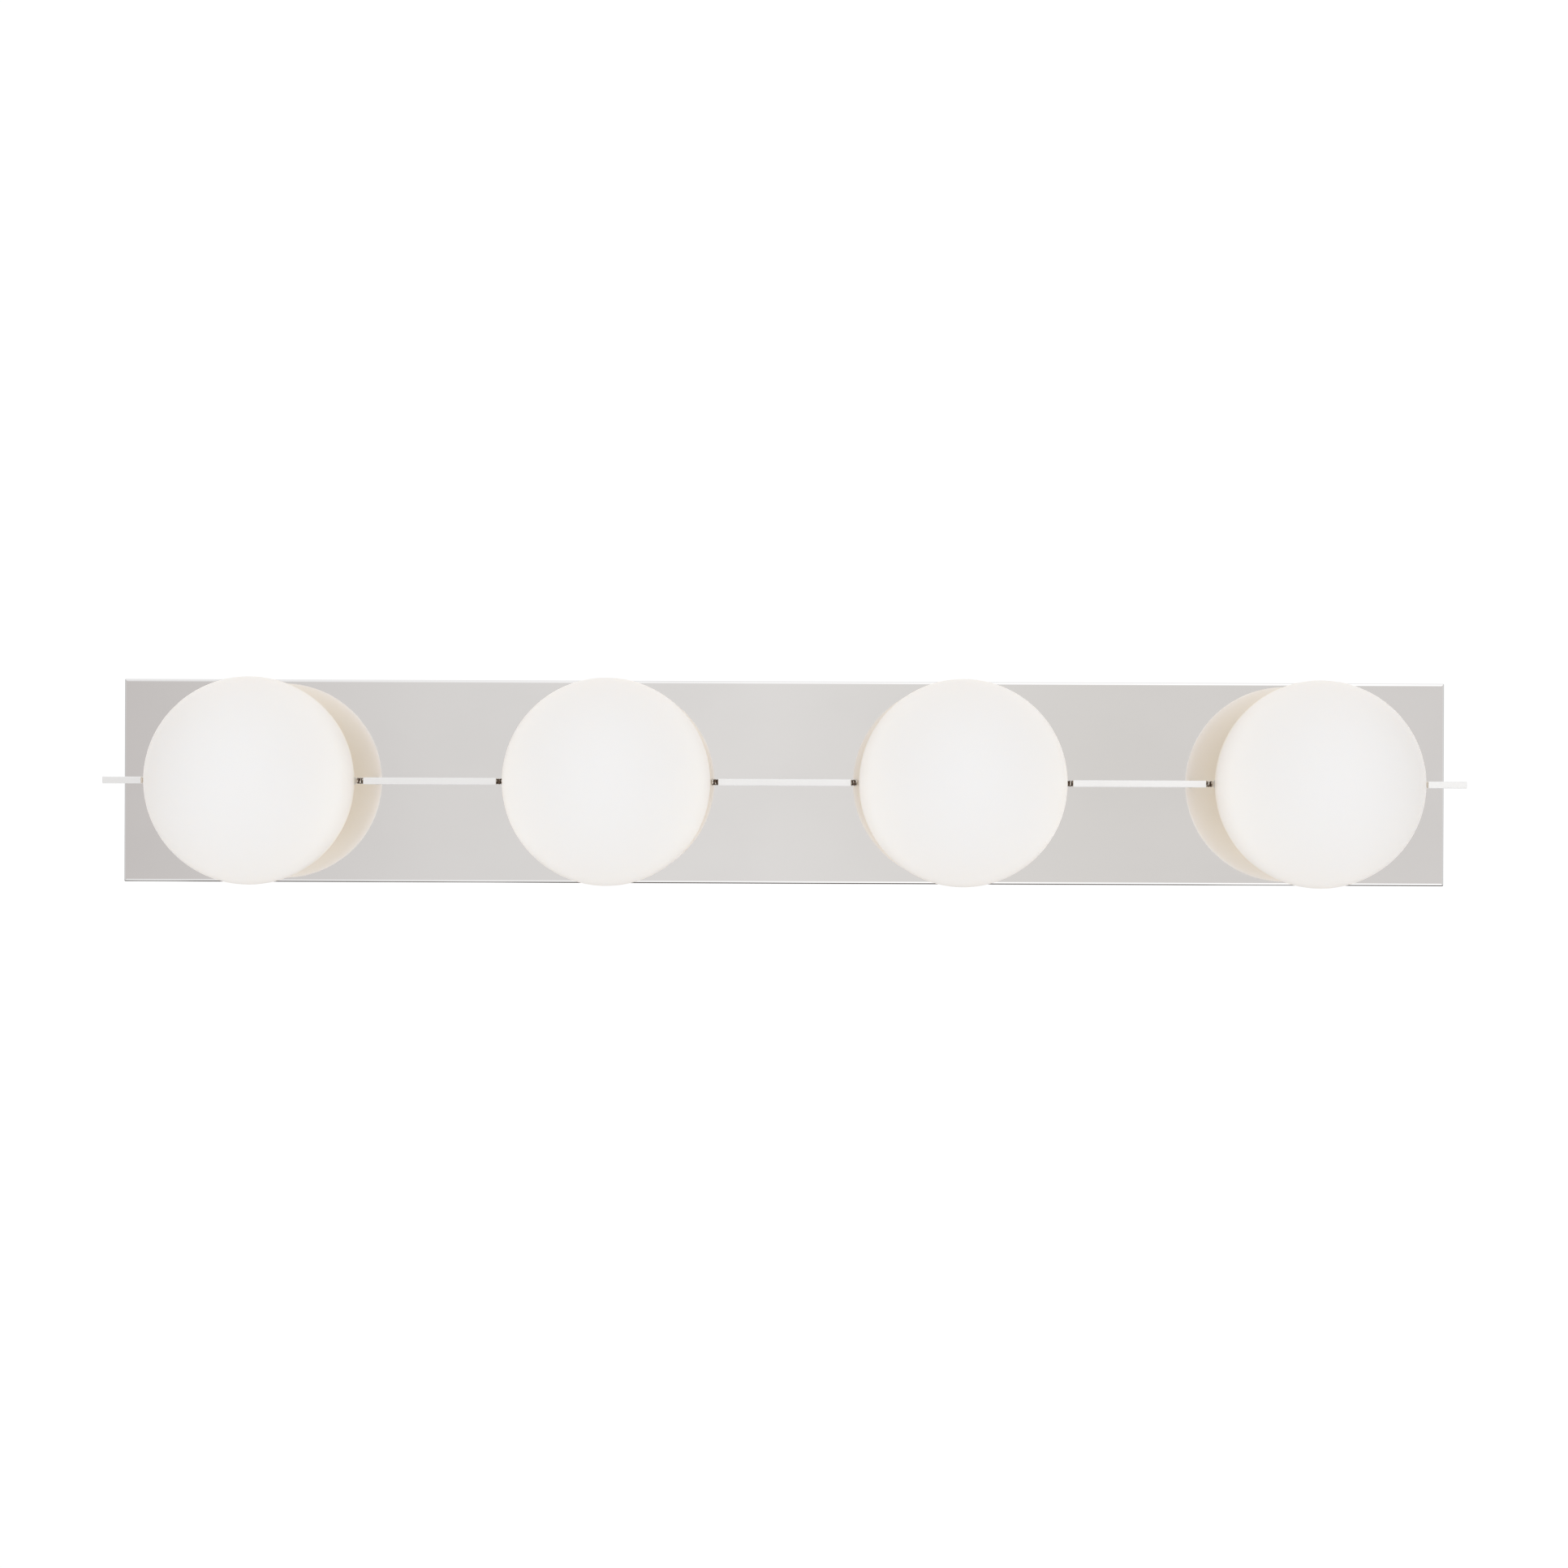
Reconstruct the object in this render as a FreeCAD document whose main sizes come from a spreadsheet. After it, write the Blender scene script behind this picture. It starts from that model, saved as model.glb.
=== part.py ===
"""A four-globe bath bar for a wall, modelled as the pieces that it is put together from.

Millimetres.  X runs along the bar, +Z is up and -Y points out of the wall into the room.
The origin is the middle of the two wall-box screw slots, on the wall's surface.
"""
import FreeCAD, Part
import math
import os

import Sketcher

V = FreeCAD.Vector
GLOBES = 4

# ---------------------------------------------------------------- driving dimensions
SIZES = {
    # the folded pan
    "plate_length": (850, "pan, end to end"),
    "plate_height": (130.5, "pan, bottom to top"),
    "pan_depth": (18, "pan, wall to mirror face"),
    "pan_sheet": (1.2, "pan sheet"),
    "fold_radius": (0.8, "outside radius of the pan's folds"),
    # the glass
    "globe_dia": (129.5, "outside of a globe"),
    "globe_pitch": (222, "from one globe's axis to the next"),
    "globe_gap": (3.25, "behind the glass sphere, to the mirror face"),
    "glass_wall": (3, "glass"),
    "mouth_dia": (72, "round mouth in the back of a globe"),
    "side_hole_dia": (5, "rod hole in a globe's side"),
    # the bar
    "bar_size": (4.3, "square section"),
    "bar_bevel": (0.35, "bevel along the bar's edges"),
    "bar_setback": (11.75, "bar axis behind the globe centres"),
    "stub_length": (24.1, "bar outside an end globe"),
    "rod_dia": (2.4, "cross rod"),
    "rod_entry": (9, "cross rod inside a bar end"),
    "bore_spare": (1, "bar bore deeper than the rod goes"),
    "bar_screw_dia": (2, "grub screw in a bar end"),
    "bar_screw_inset": (4.5, "grub screw from the bar's end"),
    "ferrule_length": (5.25, "sleeve between glass and bar"),
    "ferrule_dia": (3.8, "sleeve"),
    "groove_pitch": (1.65, "grooves round a sleeve"),
    "groove_width": (0.55, "groove"),
    "groove_depth": (0.3, "groove"),
    "bush_length": (4.6, "soft bush in a glass side hole"),
    "bush_proud": (0.5, "bush past the glass, on the rod's axis"),
    # the holder, its gasket and the post
    "holder_dia": (76, "dish under a globe"),
    "holder_sheet": (1.2, "dish sheet"),
    "holder_step": (3, "centring step inside the mouth"),
    "step_gap": (1, "round the centring step"),
    "gasket_thick": (2, "ring under the glass"),
    "gasket_lip": (0.6, "ring past the mouth"),
    "post_dia": (14, "post above the dish"),
    "thread_dia": (10, "post through dish and pan"),
    "wire_bore": (6, "hole along the post"),
    "thread_end": (7.3, "threaded end past the pan's inside face"),
    "nut_across": (17, "post nut, flat to flat"),
    "nut_height": (5, "post nut"),
    "washer_dia": (20, "star washer"),
    "washer_thick": (1, "star washer"),
    "washer_tooth": (1.6, "star washer's teeth, inwards"),
    # the light engine
    "engine_setback": (1, "heat sink plate behind the globe centres"),
    "sink_dia": (52, "heat sink"),
    "sink_plate": (3, "heat sink plate"),
    "fin_height": (7, "fins behind the plate"),
    "fin_thick": (1.5, "fin"),
    "hub_dia": (20, "heat sink hub"),
    "cable_hole": (8, "hole in heat sink plate and board"),
    "board_dia": (46, "LED board"),
    "board_thick": (1.6, "circuit boards"),
    "board_screw_ring": (28, "board screw circle"),
    "board_screw_dia": (3, "board screw"),
    "board_screw_head": (5.5, "board screw's head"),
    "board_screw_rise": (1.8, "board screw's head"),
    "board_screw_grip": (2.8, "board screw in the heat sink"),
    "led_ring": (37, "circle of LED packages"),
    "led_size": (3, "LED package, square"),
    "led_rise": (0.8, "LED package"),
    "plug_width": (12, "connector on the LED board"),
    "plug_height": (9, "connector on the LED board"),
    "plug_rise": (4, "connector on the LED board"),
    # the wall bracket
    "bracket_length": (560, "bracket, end to end"),
    "bracket_margin": (14.75, "bracket edge inside the pan's outside"),
    "bracket_sheet": (1.5, "bracket sheet"),
    "window_width": (60, "wiring window"),
    "window_height": (48, "wiring window"),
    "box_spacing": (88.9, "wall-box screw slots, centre to centre"),
    "slot_width": (5, "wall-box screw slot"),
    "slot_length": (14, "wall-box screw slot"),
    "anchor_spacing_x": (500, "wall anchor holes"),
    "anchor_spacing_z": (60, "wall anchor holes"),
    "anchor_hole": (5.2, "wall anchor hole"),
    "ear_spacing": (480, "bracket ears and pan set screws"),
    "ear_width": (30, "bracket ear"),
    "ear_reach": (14, "bracket ear, out of the wall"),
    "set_screw_dia": (4, "pan set screw"),
    "set_screw_length": (8, "pan set screw"),
    "set_screw_y": (9, "pan set screw, out of the wall"),
    "weld_nut_across": (8, "weld nut inside the pan's edge"),
    "weld_nut_height": (3.2, "weld nut inside the pan's edge"),
    # the driver and the wiring
    "driver_length": (112, "driver tray"),
    "driver_width": (24, "driver tray"),
    "driver_height": (11, "driver tray"),
    "driver_wall": (1.5, "driver tray and lid"),
    "driver_gap": (2, "driver below the wiring window"),
    "tab_length": (9, "driver fixing tab"),
    "tab_thick": (2, "driver fixing tab"),
    "driver_screw_dia": (3.5, "driver screw"),
    "driver_screw_head": (6.4, "driver screw's head"),
    "driver_screw_rise": (2.2, "driver screw's head"),
    "pillar_height": (1.5, "under the driver's board"),
    "pillar_dia": (4, "under the driver's board"),
    "board_edge_gap": (0.5, "driver's board to the tray walls"),
    "coil_size": (15, "transformer, square"),
    "coil_height": (5.2, "transformer"),
    "capacitor_dia": (5.4, "capacitor, lying down"),
    "capacitor_length": (14, "capacitor"),
    "led_lead_dia": (1.2, "LED lead"),
    "supply_lead_dia": (1.8, "line, neutral and ground leads"),
    "lead_lift": (5, "LED leads' axis in front of the bracket"),
    "lead_bend": (4, "bend of a lead where it enters a post"),
    "corner_bend": (14, "bend of a lead at a corner of its run"),
    "upper_run": (36, "upper lead run above the middle"),
    "lower_run_gap": (2.5, "lower lead run inside the bracket ears"),
    "clip_width": (8, "lead clip, along the lead"),
    "clip_height": (5, "lead clip, across the lead"),
    "clip_cover": (1.5, "lead clip over the lead"),
    "wire_nut_dia": (11, "twist-on connector, mouth end"),
    "wire_nut_tip": (7.6, "twist-on connector, closed end"),
    "wire_nut_length": (20, "twist-on connector"),
    "wire_nut_bore": (6.4, "twist-on connector, mouth"),
    "wire_nut_depth": (12, "twist-on connector, mouth"),
    "wire_nut_lift": (6.5, "twist-on connector's axis in front of the bracket"),
    "wire_nut_x": (52, "mouth of the line and neutral connectors"),
    "wire_nut_z": (31, "line and neutral connectors above the middle"),
    "ground_z": (43.5, "ground screw and connector above the middle"),
    "ground_nut_x": (20, "mouth of the ground connector"),
    "ground_screw_dia": (4, "ground screw"),
    "ground_head_dia": (9, "ground screw's head"),
    "ground_head_rise": (2.5, "ground screw's head"),
    "supply_turn_x": (72, "where the line and neutral leads climb"),
    # fits
    "fit": (0.05, "radial clearance of a pin or thread in its hole"),
    "loose": (0.2, "radial clearance of a clamped stud"),
}

doc = FreeCAD.newDocument("VanityLightBar")
sheet = doc.addObject("Spreadsheet::Sheet", "Sizes")
for row, (alias, (value, meaning)) in enumerate(SIZES.items(), start=1):
    sheet.set(f"A{row}", alias)
    sheet.set(f"B{row}", str(value))
    sheet.setAlias(f"B{row}", alias)
    sheet.set(f"C{row}", meaning)
doc.recompute()


def size(formula):
    """The value of a formula in the sheet's names, each written as Sizes.name."""
    return float(sheet.evalExpression(formula))


def of(formula):
    """A formula in plain size names becomes one that the document understands."""
    words = []
    word = ""
    for letter in str(formula) + " ":
        if letter.isalnum() or letter == "_":
            word += letter
            continue
        words.append("Sizes." + word if word in SIZES else word)
        words.append(letter)
        word = ""
    return "(" + "".join(words).strip() + ")"


# ---------------------------------------------------------------- places that follow from the sizes
FACE_Y = "(-pan_depth)"
INSIDE_Y = "(-pan_depth + pan_sheet)"
RADIUS = "(globe_dia / 2)"
CENTRE_Y = f"({FACE_Y} - globe_gap - {RADIUS})"
MOUTH_Y = f"({CENTRE_Y} + sqrt({RADIUS} ^ 2 - (mouth_dia / 2) ^ 2))"
LEDGE_Y = f"({MOUTH_Y} + gasket_thick)"
STEP_R = f"(sqrt(({RADIUS} - glass_wall) ^ 2 - ({MOUTH_Y} - {CENTRE_Y}) ^ 2) - step_gap)"
STEP_Y = f"({LEDGE_Y} - holder_step)"
BAR_Y = f"({CENTRE_Y} + bar_setback)"
BUSH_END = f"(sqrt({RADIUS} ^ 2 - bar_setback ^ 2) + bush_proud)"
BAR_END = f"({BUSH_END} + ferrule_length)"
SPAN = f"(globe_pitch - 2 * {BAR_END})"
SINK_Y = f"({CENTRE_Y} + engine_setback)"
BOARD_Y = f"({SINK_Y} - sink_plate)"
LED_Y = f"({BOARD_Y} - board_thick)"
EAR_Z = "(plate_height / 2 - set_screw_length)"
BRACKET_Z = "(plate_height / 2 - bracket_margin)"
LEAD_Y = "(-bracket_sheet - lead_lift)"
LEAD_Z = "(rod_dia / 2 + wire_bore / 2) / 2"
LOWER_RUN = f"({EAR_Z} - bracket_sheet - lower_run_gap)"
DRIVER_TOP = "(-window_height / 2 - driver_gap)"
DRIVER_Z = f"({DRIVER_TOP} - driver_width / 2)"


def globe_x(index):
    """The X of globe 0 to 3, counted from the left."""
    return f"(globe_pitch * {index - (GLOBES - 1) / 2})"


# ---------------------------------------------------------------- sketches and features
nodes = []


def body(label, x="0", y="0", z="0"):
    """A new piece, placed by formulas."""
    piece = doc.addObject("PartDesign::Body", label)
    place(piece, x, y, z)
    nodes.append(piece)
    return piece


def place(piece, x="0", y="0", z="0"):
    for axis, formula in zip("xyz", (x, y, z)):
        piece.setExpression(f"Placement.Base.{axis}", of(formula))


def sketch(piece, name, plane, offset="0"):
    """A sketch on one of the body's own planes, moved along that plane's normal."""
    flat = next(item for item in piece.Origin.OriginFeatures if item.Role == plane)
    drawing = piece.newObject("Sketcher::SketchObject", name)
    drawing.AttachmentSupport = [(flat, "")]
    drawing.MapMode = "FlatFace"
    drawing.setExpression("AttachmentOffset.Base.z", of(offset))
    return drawing


def pin_point(drawing, geometry, end, x, y):
    """Dimension one point from the sketch's origin."""
    for kind, formula in (("DistanceX", x), ("DistanceY", y)):
        index = drawing.addConstraint(
            Sketcher.Constraint(kind, -1, 1, geometry, end, size(of(formula))))
        drawing.setExpression(f"Constraints[{index}]", of(formula))


def outline(drawing, points):
    """A closed run of straight lines through points given as formulas."""
    flat = [V(size(of(x)), size(of(y)), 0) for x, y in points]
    first = drawing.GeometryCount
    count = len(points)
    for index in range(count):
        drawing.addGeometry(Part.LineSegment(flat[index], flat[(index + 1) % count]))
    for index in range(count):
        following = first + (index + 1) % count
        drawing.addConstraint(Sketcher.Constraint("Coincident", first + index, 2, following, 1))
        pin_point(drawing, first + index, 1, *points[index])


def rectangle(drawing, left, bottom, right, top):
    outline(drawing, [(left, bottom), (right, bottom), (right, top), (left, top)])


def ring(drawing, x, y, radius):
    """A full circle."""
    centre = V(size(of(x)), size(of(y)), 0)
    index = drawing.addGeometry(Part.Circle(centre, V(0, 0, 1), size(of(radius))))
    pin_point(drawing, index, 3, x, y)
    round_it = drawing.addConstraint(Sketcher.Constraint("Radius", index, size(of(radius))))
    drawing.setExpression(f"Constraints[{round_it}]", of(radius))


def slot(drawing, x, y, length, width):
    """A slot along the sketch's X: two straight sides and two half rounds."""
    reach = size(of(f"({length} - {width}) / 2"))
    half = size(of(width)) / 2
    centre = V(size(of(x)), size(of(y)), 0)
    right = Part.Circle(centre + V(reach, 0, 0), V(0, 0, 1), half)
    left = Part.Circle(centre - V(reach, 0, 0), V(0, 0, 1), half)
    quarter = math.pi / 2
    first = drawing.addGeometry(Part.ArcOfCircle(right, -quarter, quarter))
    drawing.addGeometry(Part.LineSegment(centre + V(reach, half, 0), centre + V(-reach, half, 0)))
    drawing.addGeometry(Part.ArcOfCircle(left, quarter, 3 * quarter))
    drawing.addGeometry(Part.LineSegment(centre + V(-reach, -half, 0), centre + V(reach, -half, 0)))
    for index in range(4):
        following = first + (index + 1) % 4
        drawing.addConstraint(Sketcher.Constraint("Tangent", first + index, 2, following, 1))
    pin_point(drawing, first, 3, f"{x} + ({length} - {width}) / 2", y)
    pin_point(drawing, first + 2, 3, f"{x} - ({length} - {width}) / 2", y)
    round_it = drawing.addConstraint(Sketcher.Constraint("Radius", first, half))
    drawing.setExpression(f"Constraints[{round_it}]", of(f"{width} / 2"))


def pad(piece, drawing, length, symmetric=False, backwards=False):
    """Thicken a sketch along its normal, about it, or against it."""
    feature = piece.newObject("PartDesign::Pad", drawing.Name + "Pad")
    feature.Profile = drawing
    feature.SideType = "Symmetric" if symmetric else "One side"
    feature.Reversed = backwards
    feature.setExpression("Length", of(length))
    return feature


def pocket(piece, drawing, length, symmetric=False, backwards=False):
    """Cut a sketch out of the piece, against the sketch's normal unless backwards."""
    feature = piece.newObject("PartDesign::Pocket", drawing.Name + "Pocket")
    feature.Profile = drawing
    feature.Type = "Length"
    feature.SideType = "Symmetric" if symmetric else "One side"
    feature.Reversed = backwards
    feature.setExpression("Length", of(length))
    return feature


def turn(piece, points, axis="V_Axis", name="Profile"):
    """Spin a closed outline, drawn as (radius, y) about V_Axis or (x, radius) about H_Axis."""
    drawing = sketch(piece, name, "XY_Plane")
    outline(drawing, points)
    feature = piece.newObject("PartDesign::Revolution", drawing.Name + "Turned")
    feature.Profile = drawing
    feature.ReferenceAxis = (drawing, [axis])
    feature.Angle = 360
    return feature


def round_pattern(piece, feature, occurrences):
    """Repeat a feature all round the piece's own Y axis."""
    axis = next(item for item in piece.Origin.OriginFeatures if item.Role == "Y_Axis")
    pattern = piece.newObject("PartDesign::PolarPattern", feature.Name + "Round")
    pattern.Originals = [feature]
    pattern.Axis = (axis, [""])
    pattern.Angle = 360
    pattern.Occurrences = occurrences
    piece.Tip = pattern
    return pattern


OUT_OF_WALL = FreeCAD.Rotation(V(1, 0, 0), 90)
ALONG_X = FreeCAD.Rotation(V(0, 1, 0), 90)
UPRIGHT = FreeCAD.Rotation()


def cylinder(name, radius, height, at, direction=OUT_OF_WALL):
    """A round bar from the point at, in the given direction."""
    item = doc.addObject("Part::Cylinder", name)
    item.Placement = FreeCAD.Placement(V(), direction)
    item.setExpression("Radius", of(radius))
    item.setExpression("Height", of(height))
    place(item, *at)
    return item


def hexagon(name, across, height, at, direction=OUT_OF_WALL):
    item = doc.addObject("Part::Prism", name)
    item.Polygon = 6
    item.Placement = FreeCAD.Placement(V(), direction)
    item.setExpression("Circumradius", of(f"{across} / sqrt(3)"))
    item.setExpression("Height", of(height))
    place(item, *at)
    return item


def block(name, length, depth, height, at):
    """A square block, from its lowest corner."""
    item = doc.addObject("Part::Box", name)
    item.setExpression("Length", of(length))
    item.setExpression("Width", of(depth))
    item.setExpression("Height", of(height))
    place(item, *at)
    return item


def cut(name, base, *tools):
    """What is left of base when each tool is taken away in turn."""
    result = base
    for number, tool in enumerate(tools, start=1):
        step = doc.addObject("Part::Cut", f"{name}{number}")
        step.Base = result
        step.Tool = tool
        result = step
    return result


def fuse(name, *items):
    result = doc.addObject("Part::MultiFuse", name)
    result.Shapes = list(items)
    return result


def group(label, items):
    """Like pieces that share one node, each a solid of its own."""
    result = doc.addObject("Part::Compound", label)
    result.Links = items
    nodes.append(result)
    return result


def single(label, item):
    """A piece made from primitives takes its node's name."""
    item.Label = label
    nodes.append(item)
    return item


# ---------------------------------------------------------------- back pan
# One folded sheet: mirror face to the room, four narrow edges back to the wall, open behind.
pan = body("back_pan")
drawing = sketch(pan, "PanFace", "XZ_Plane")
rectangle(drawing, "-plate_length / 2", "-plate_height / 2", "plate_length / 2", "plate_height / 2")
block_of_pan = pad(pan, drawing, "pan_depth")
doc.recompute()


def edges_of(feature, wanted):
    return [f"Edge{number}" for number, edge in enumerate(feature.Shape.Edges, start=1) if wanted(edge)]


def off_the_wall(edge):
    """Every edge of the pan except the four that touch the wall."""
    return edge.BoundBox.YMin < -1


folds = pan.newObject("PartDesign::Fillet", "PanFolds")
folds.Base = (block_of_pan, edges_of(block_of_pan, off_the_wall))
folds.setExpression("Radius", of("fold_radius"))
doc.recompute()
drawing = sketch(pan, "PanInside", "XZ_Plane")
INNER_X = "(plate_length / 2 - pan_sheet)"
INNER_Z = "(plate_height / 2 - pan_sheet)"
rectangle(drawing, f"-{INNER_X}", f"-{INNER_Z}", INNER_X, INNER_Z)
pocket(pan, drawing, "pan_depth - pan_sheet", backwards=True)

drawing = sketch(pan, "PostHole", "XZ_Plane", "pan_depth")
ring(drawing, globe_x(0), "0", "thread_dia / 2 + loose")
first_hole = pocket(pan, drawing, "2 * pan_sheet")
post_holes = pan.newObject("PartDesign::LinearPattern", "PostHoles")
post_holes.Originals = [first_hole]
post_holes.Direction = (drawing, ["H_Axis"])
post_holes.setExpression("Length", of(f"globe_pitch * {GLOBES - 1}"))
post_holes.Occurrences = GLOBES
pan.Tip = post_holes

drawing = sketch(pan, "SetScrewHoles", "XY_Plane")
for side in (-1, 1):
    ring(drawing, f"{side} * ear_spacing / 2", "-set_screw_y", "set_screw_dia / 2 + loose")
pocket(pan, drawing, "2 * plate_height", symmetric=True)

# ---------------------------------------------------------------- wall bracket
# A flat steel strip against the wall, with four ears folded forward inside the pan's edges.
bracket = body("wall_bracket")
drawing = sketch(bracket, "BracketStrip", "XZ_Plane")
rectangle(drawing, "-bracket_length / 2", f"-{BRACKET_Z}", "bracket_length / 2", BRACKET_Z)
pad(bracket, drawing, "bracket_sheet")
drawing = sketch(bracket, "EarRoots", "XZ_Plane")
for side in (-1, 1):
    middle = f"{side} * ear_spacing / 2"
    rectangle(drawing, f"{middle} - ear_width / 2", f"-{EAR_Z}", f"{middle} + ear_width / 2", EAR_Z)
pad(bracket, drawing, "bracket_sheet")
drawing = sketch(bracket, "Ears", "XZ_Plane")
for side in (-1, 1):
    middle = f"{side} * ear_spacing / 2"
    left = f"{middle} - ear_width / 2"
    right = f"{middle} + ear_width / 2"
    rectangle(drawing, left, f"-{EAR_Z}", right, f"-{EAR_Z} + bracket_sheet")
    rectangle(drawing, left, f"{EAR_Z} - bracket_sheet", right, EAR_Z)
pad(bracket, drawing, "ear_reach")

drawing = sketch(bracket, "WiringWindow", "XZ_Plane")
rectangle(drawing, "-window_width / 2", "-window_height / 2", "window_width / 2", "window_height / 2")
pocket(bracket, drawing, "2 * bracket_sheet", backwards=True)
drawing = sketch(bracket, "BoxSlots", "XZ_Plane")
for side in (-1, 1):
    slot(drawing, f"{side} * box_spacing / 2", "0", "slot_length", "slot_width")
pocket(bracket, drawing, "2 * bracket_sheet", backwards=True)
drawing = sketch(bracket, "AnchorHoles", "XZ_Plane")
for side in (-1, 1):
    for level in (-1, 1):
        ring(drawing, f"{side} * anchor_spacing_x / 2", f"{level} * anchor_spacing_z / 2",
             "anchor_hole / 2")
pocket(bracket, drawing, "2 * bracket_sheet", backwards=True)
drawing = sketch(bracket, "SmallScrewHoles", "XZ_Plane")
ring(drawing, "0", "ground_z", "ground_screw_dia / 2 + fit")
for side in (-1, 1):
    ring(drawing, f"{side} * (driver_length + tab_length) / 2", DRIVER_Z, "driver_screw_dia / 2 + fit")
pocket(bracket, drawing, "2 * bracket_sheet", backwards=True)

# ---------------------------------------------------------------- what locks the pan on the bracket
# Four grub screws, flush in the pan's edges, run through weld nuts and bear on the ears.
screws = []
weld_nuts = []
for side in (-1, 1):
    for level, direction in ((-1, UPRIGHT), (1, FreeCAD.Rotation(V(1, 0, 0), 180))):
        tag = f"{'L' if side < 0 else 'R'}{'B' if level < 0 else 'T'}"
        x = f"{side} * ear_spacing / 2"
        outside = (x, "-set_screw_y", f"{level} * plate_height / 2")
        inside = (x, "-set_screw_y", f"{level} * (plate_height / 2 - pan_sheet)")
        screws.append(cut(
            f"SetScrew{tag}",
            cylinder(f"SetScrewBar{tag}", "set_screw_dia / 2", "set_screw_length", outside, direction),
            hexagon(f"SetScrewKey{tag}", "set_screw_dia / 2", "set_screw_length / 3", outside, direction)))
        weld_nuts.append(cut(
            f"WeldNut{tag}",
            hexagon(f"WeldNutBar{tag}", "weld_nut_across", "weld_nut_height", inside, direction),
            cylinder(f"WeldNutBore{tag}", "set_screw_dia / 2 + fit", "weld_nut_height", inside, direction)))
group("pan_set_screws", screws)
group("weld_nuts", weld_nuts)

# ---------------------------------------------------------------- one light, four times
# Glass, dish, gasket, hollow post, heat sink, LED board and the rod across, all about one axis.
FINS = 12
LEDS = 12
BOARD_SCREWS = 3
SCREW_TURN = 15


def glass(label, x):
    """A sphere with a round mouth behind and a rod hole in each side."""
    globe = body(label, x, CENTRE_Y)
    drawing = sketch(globe, "GlassWall", "XY_Plane")
    outer = size(of(RADIUS))
    inner = size(of(f"{RADIUS} - glass_wall"))
    mouth = size(of(f"{MOUTH_Y} - {CENTRE_Y}"))
    quarter = math.pi / 2
    front = -quarter
    outside = drawing.addGeometry(Part.ArcOfCircle(
        Part.Circle(V(), V(0, 0, 1), outer), front, math.asin(mouth / outer)))
    inside = drawing.addGeometry(Part.ArcOfCircle(
        Part.Circle(V(), V(0, 0, 1), inner), front, math.asin(mouth / inner)))
    edge = drawing.addGeometry(Part.LineSegment(
        V(math.sqrt(outer ** 2 - mouth ** 2), mouth, 0), V(math.sqrt(inner ** 2 - mouth ** 2), mouth, 0)))
    nose = drawing.addGeometry(Part.LineSegment(V(0, -inner, 0), V(0, -outer, 0)))
    for one, one_end, other, other_end in ((outside, 2, edge, 1), (inside, 2, edge, 2),
                                           (inside, 1, nose, 1), (outside, 1, nose, 2)):
        drawing.addConstraint(Sketcher.Constraint("Coincident", one, one_end, other, other_end))
    for arc, radius in ((outside, RADIUS), (inside, f"{RADIUS} - glass_wall")):
        drawing.addConstraint(Sketcher.Constraint("Coincident", arc, 3, -1, 1))
        index = drawing.addConstraint(Sketcher.Constraint("Radius", arc, size(of(radius))))
        drawing.setExpression(f"Constraints[{index}]", of(radius))
        drawing.addConstraint(Sketcher.Constraint("PointOnObject", arc, 1, -2))
    drawing.addConstraint(Sketcher.Constraint("Horizontal", edge))
    index = drawing.addConstraint(Sketcher.Constraint("DistanceY", -1, 1, edge, 1, mouth))
    drawing.setExpression(f"Constraints[{index}]", of(f"{MOUTH_Y} - {CENTRE_Y}"))
    blown = globe.newObject("PartDesign::Revolution", "Blown")
    blown.Profile = drawing
    blown.ReferenceAxis = (drawing, ["V_Axis"])
    blown.Angle = 360
    drawing = sketch(globe, "RodHoles", "YZ_Plane")
    ring(drawing, "bar_setback", "0", "side_hole_dia / 2")
    pocket(globe, drawing, "2 * globe_dia", symmetric=True)


def holder(label, x):
    """An inverted spun dish with a centring step that stands inside the glass mouth."""
    rim = "holder_dia / 2"
    bore = "thread_dia / 2 + loose"
    turn(body(label, x), [
        (rim, FACE_Y), (rim, LEDGE_Y), (STEP_R, LEDGE_Y), (STEP_R, STEP_Y), (bore, STEP_Y),
        (bore, f"{STEP_Y} + holder_sheet"), (f"{STEP_R} - holder_sheet", f"{STEP_Y} + holder_sheet"),
        (f"{STEP_R} - holder_sheet", f"{LEDGE_Y} + holder_sheet"),
        (f"{rim} - holder_sheet", f"{LEDGE_Y} + holder_sheet"), (f"{rim} - holder_sheet", FACE_Y)])


def post(label, x):
    """A hollow post: thin and threaded through dish and pan, thick above, with a rod hole across."""
    piece = body(label, x)
    thread = "thread_dia / 2"
    thick = "post_dia / 2"
    end = f"{INSIDE_Y} + thread_end"
    turn(piece, [("wire_bore / 2", end), (thread, end), (thread, STEP_Y), (thick, STEP_Y),
                 (thick, SINK_Y), ("wire_bore / 2", SINK_Y)])
    drawing = sketch(piece, "RodHole", "YZ_Plane")
    ring(drawing, BAR_Y, "0", "rod_dia / 2 + fit")
    pocket(piece, drawing, "2 * post_dia", symmetric=True)


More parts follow.
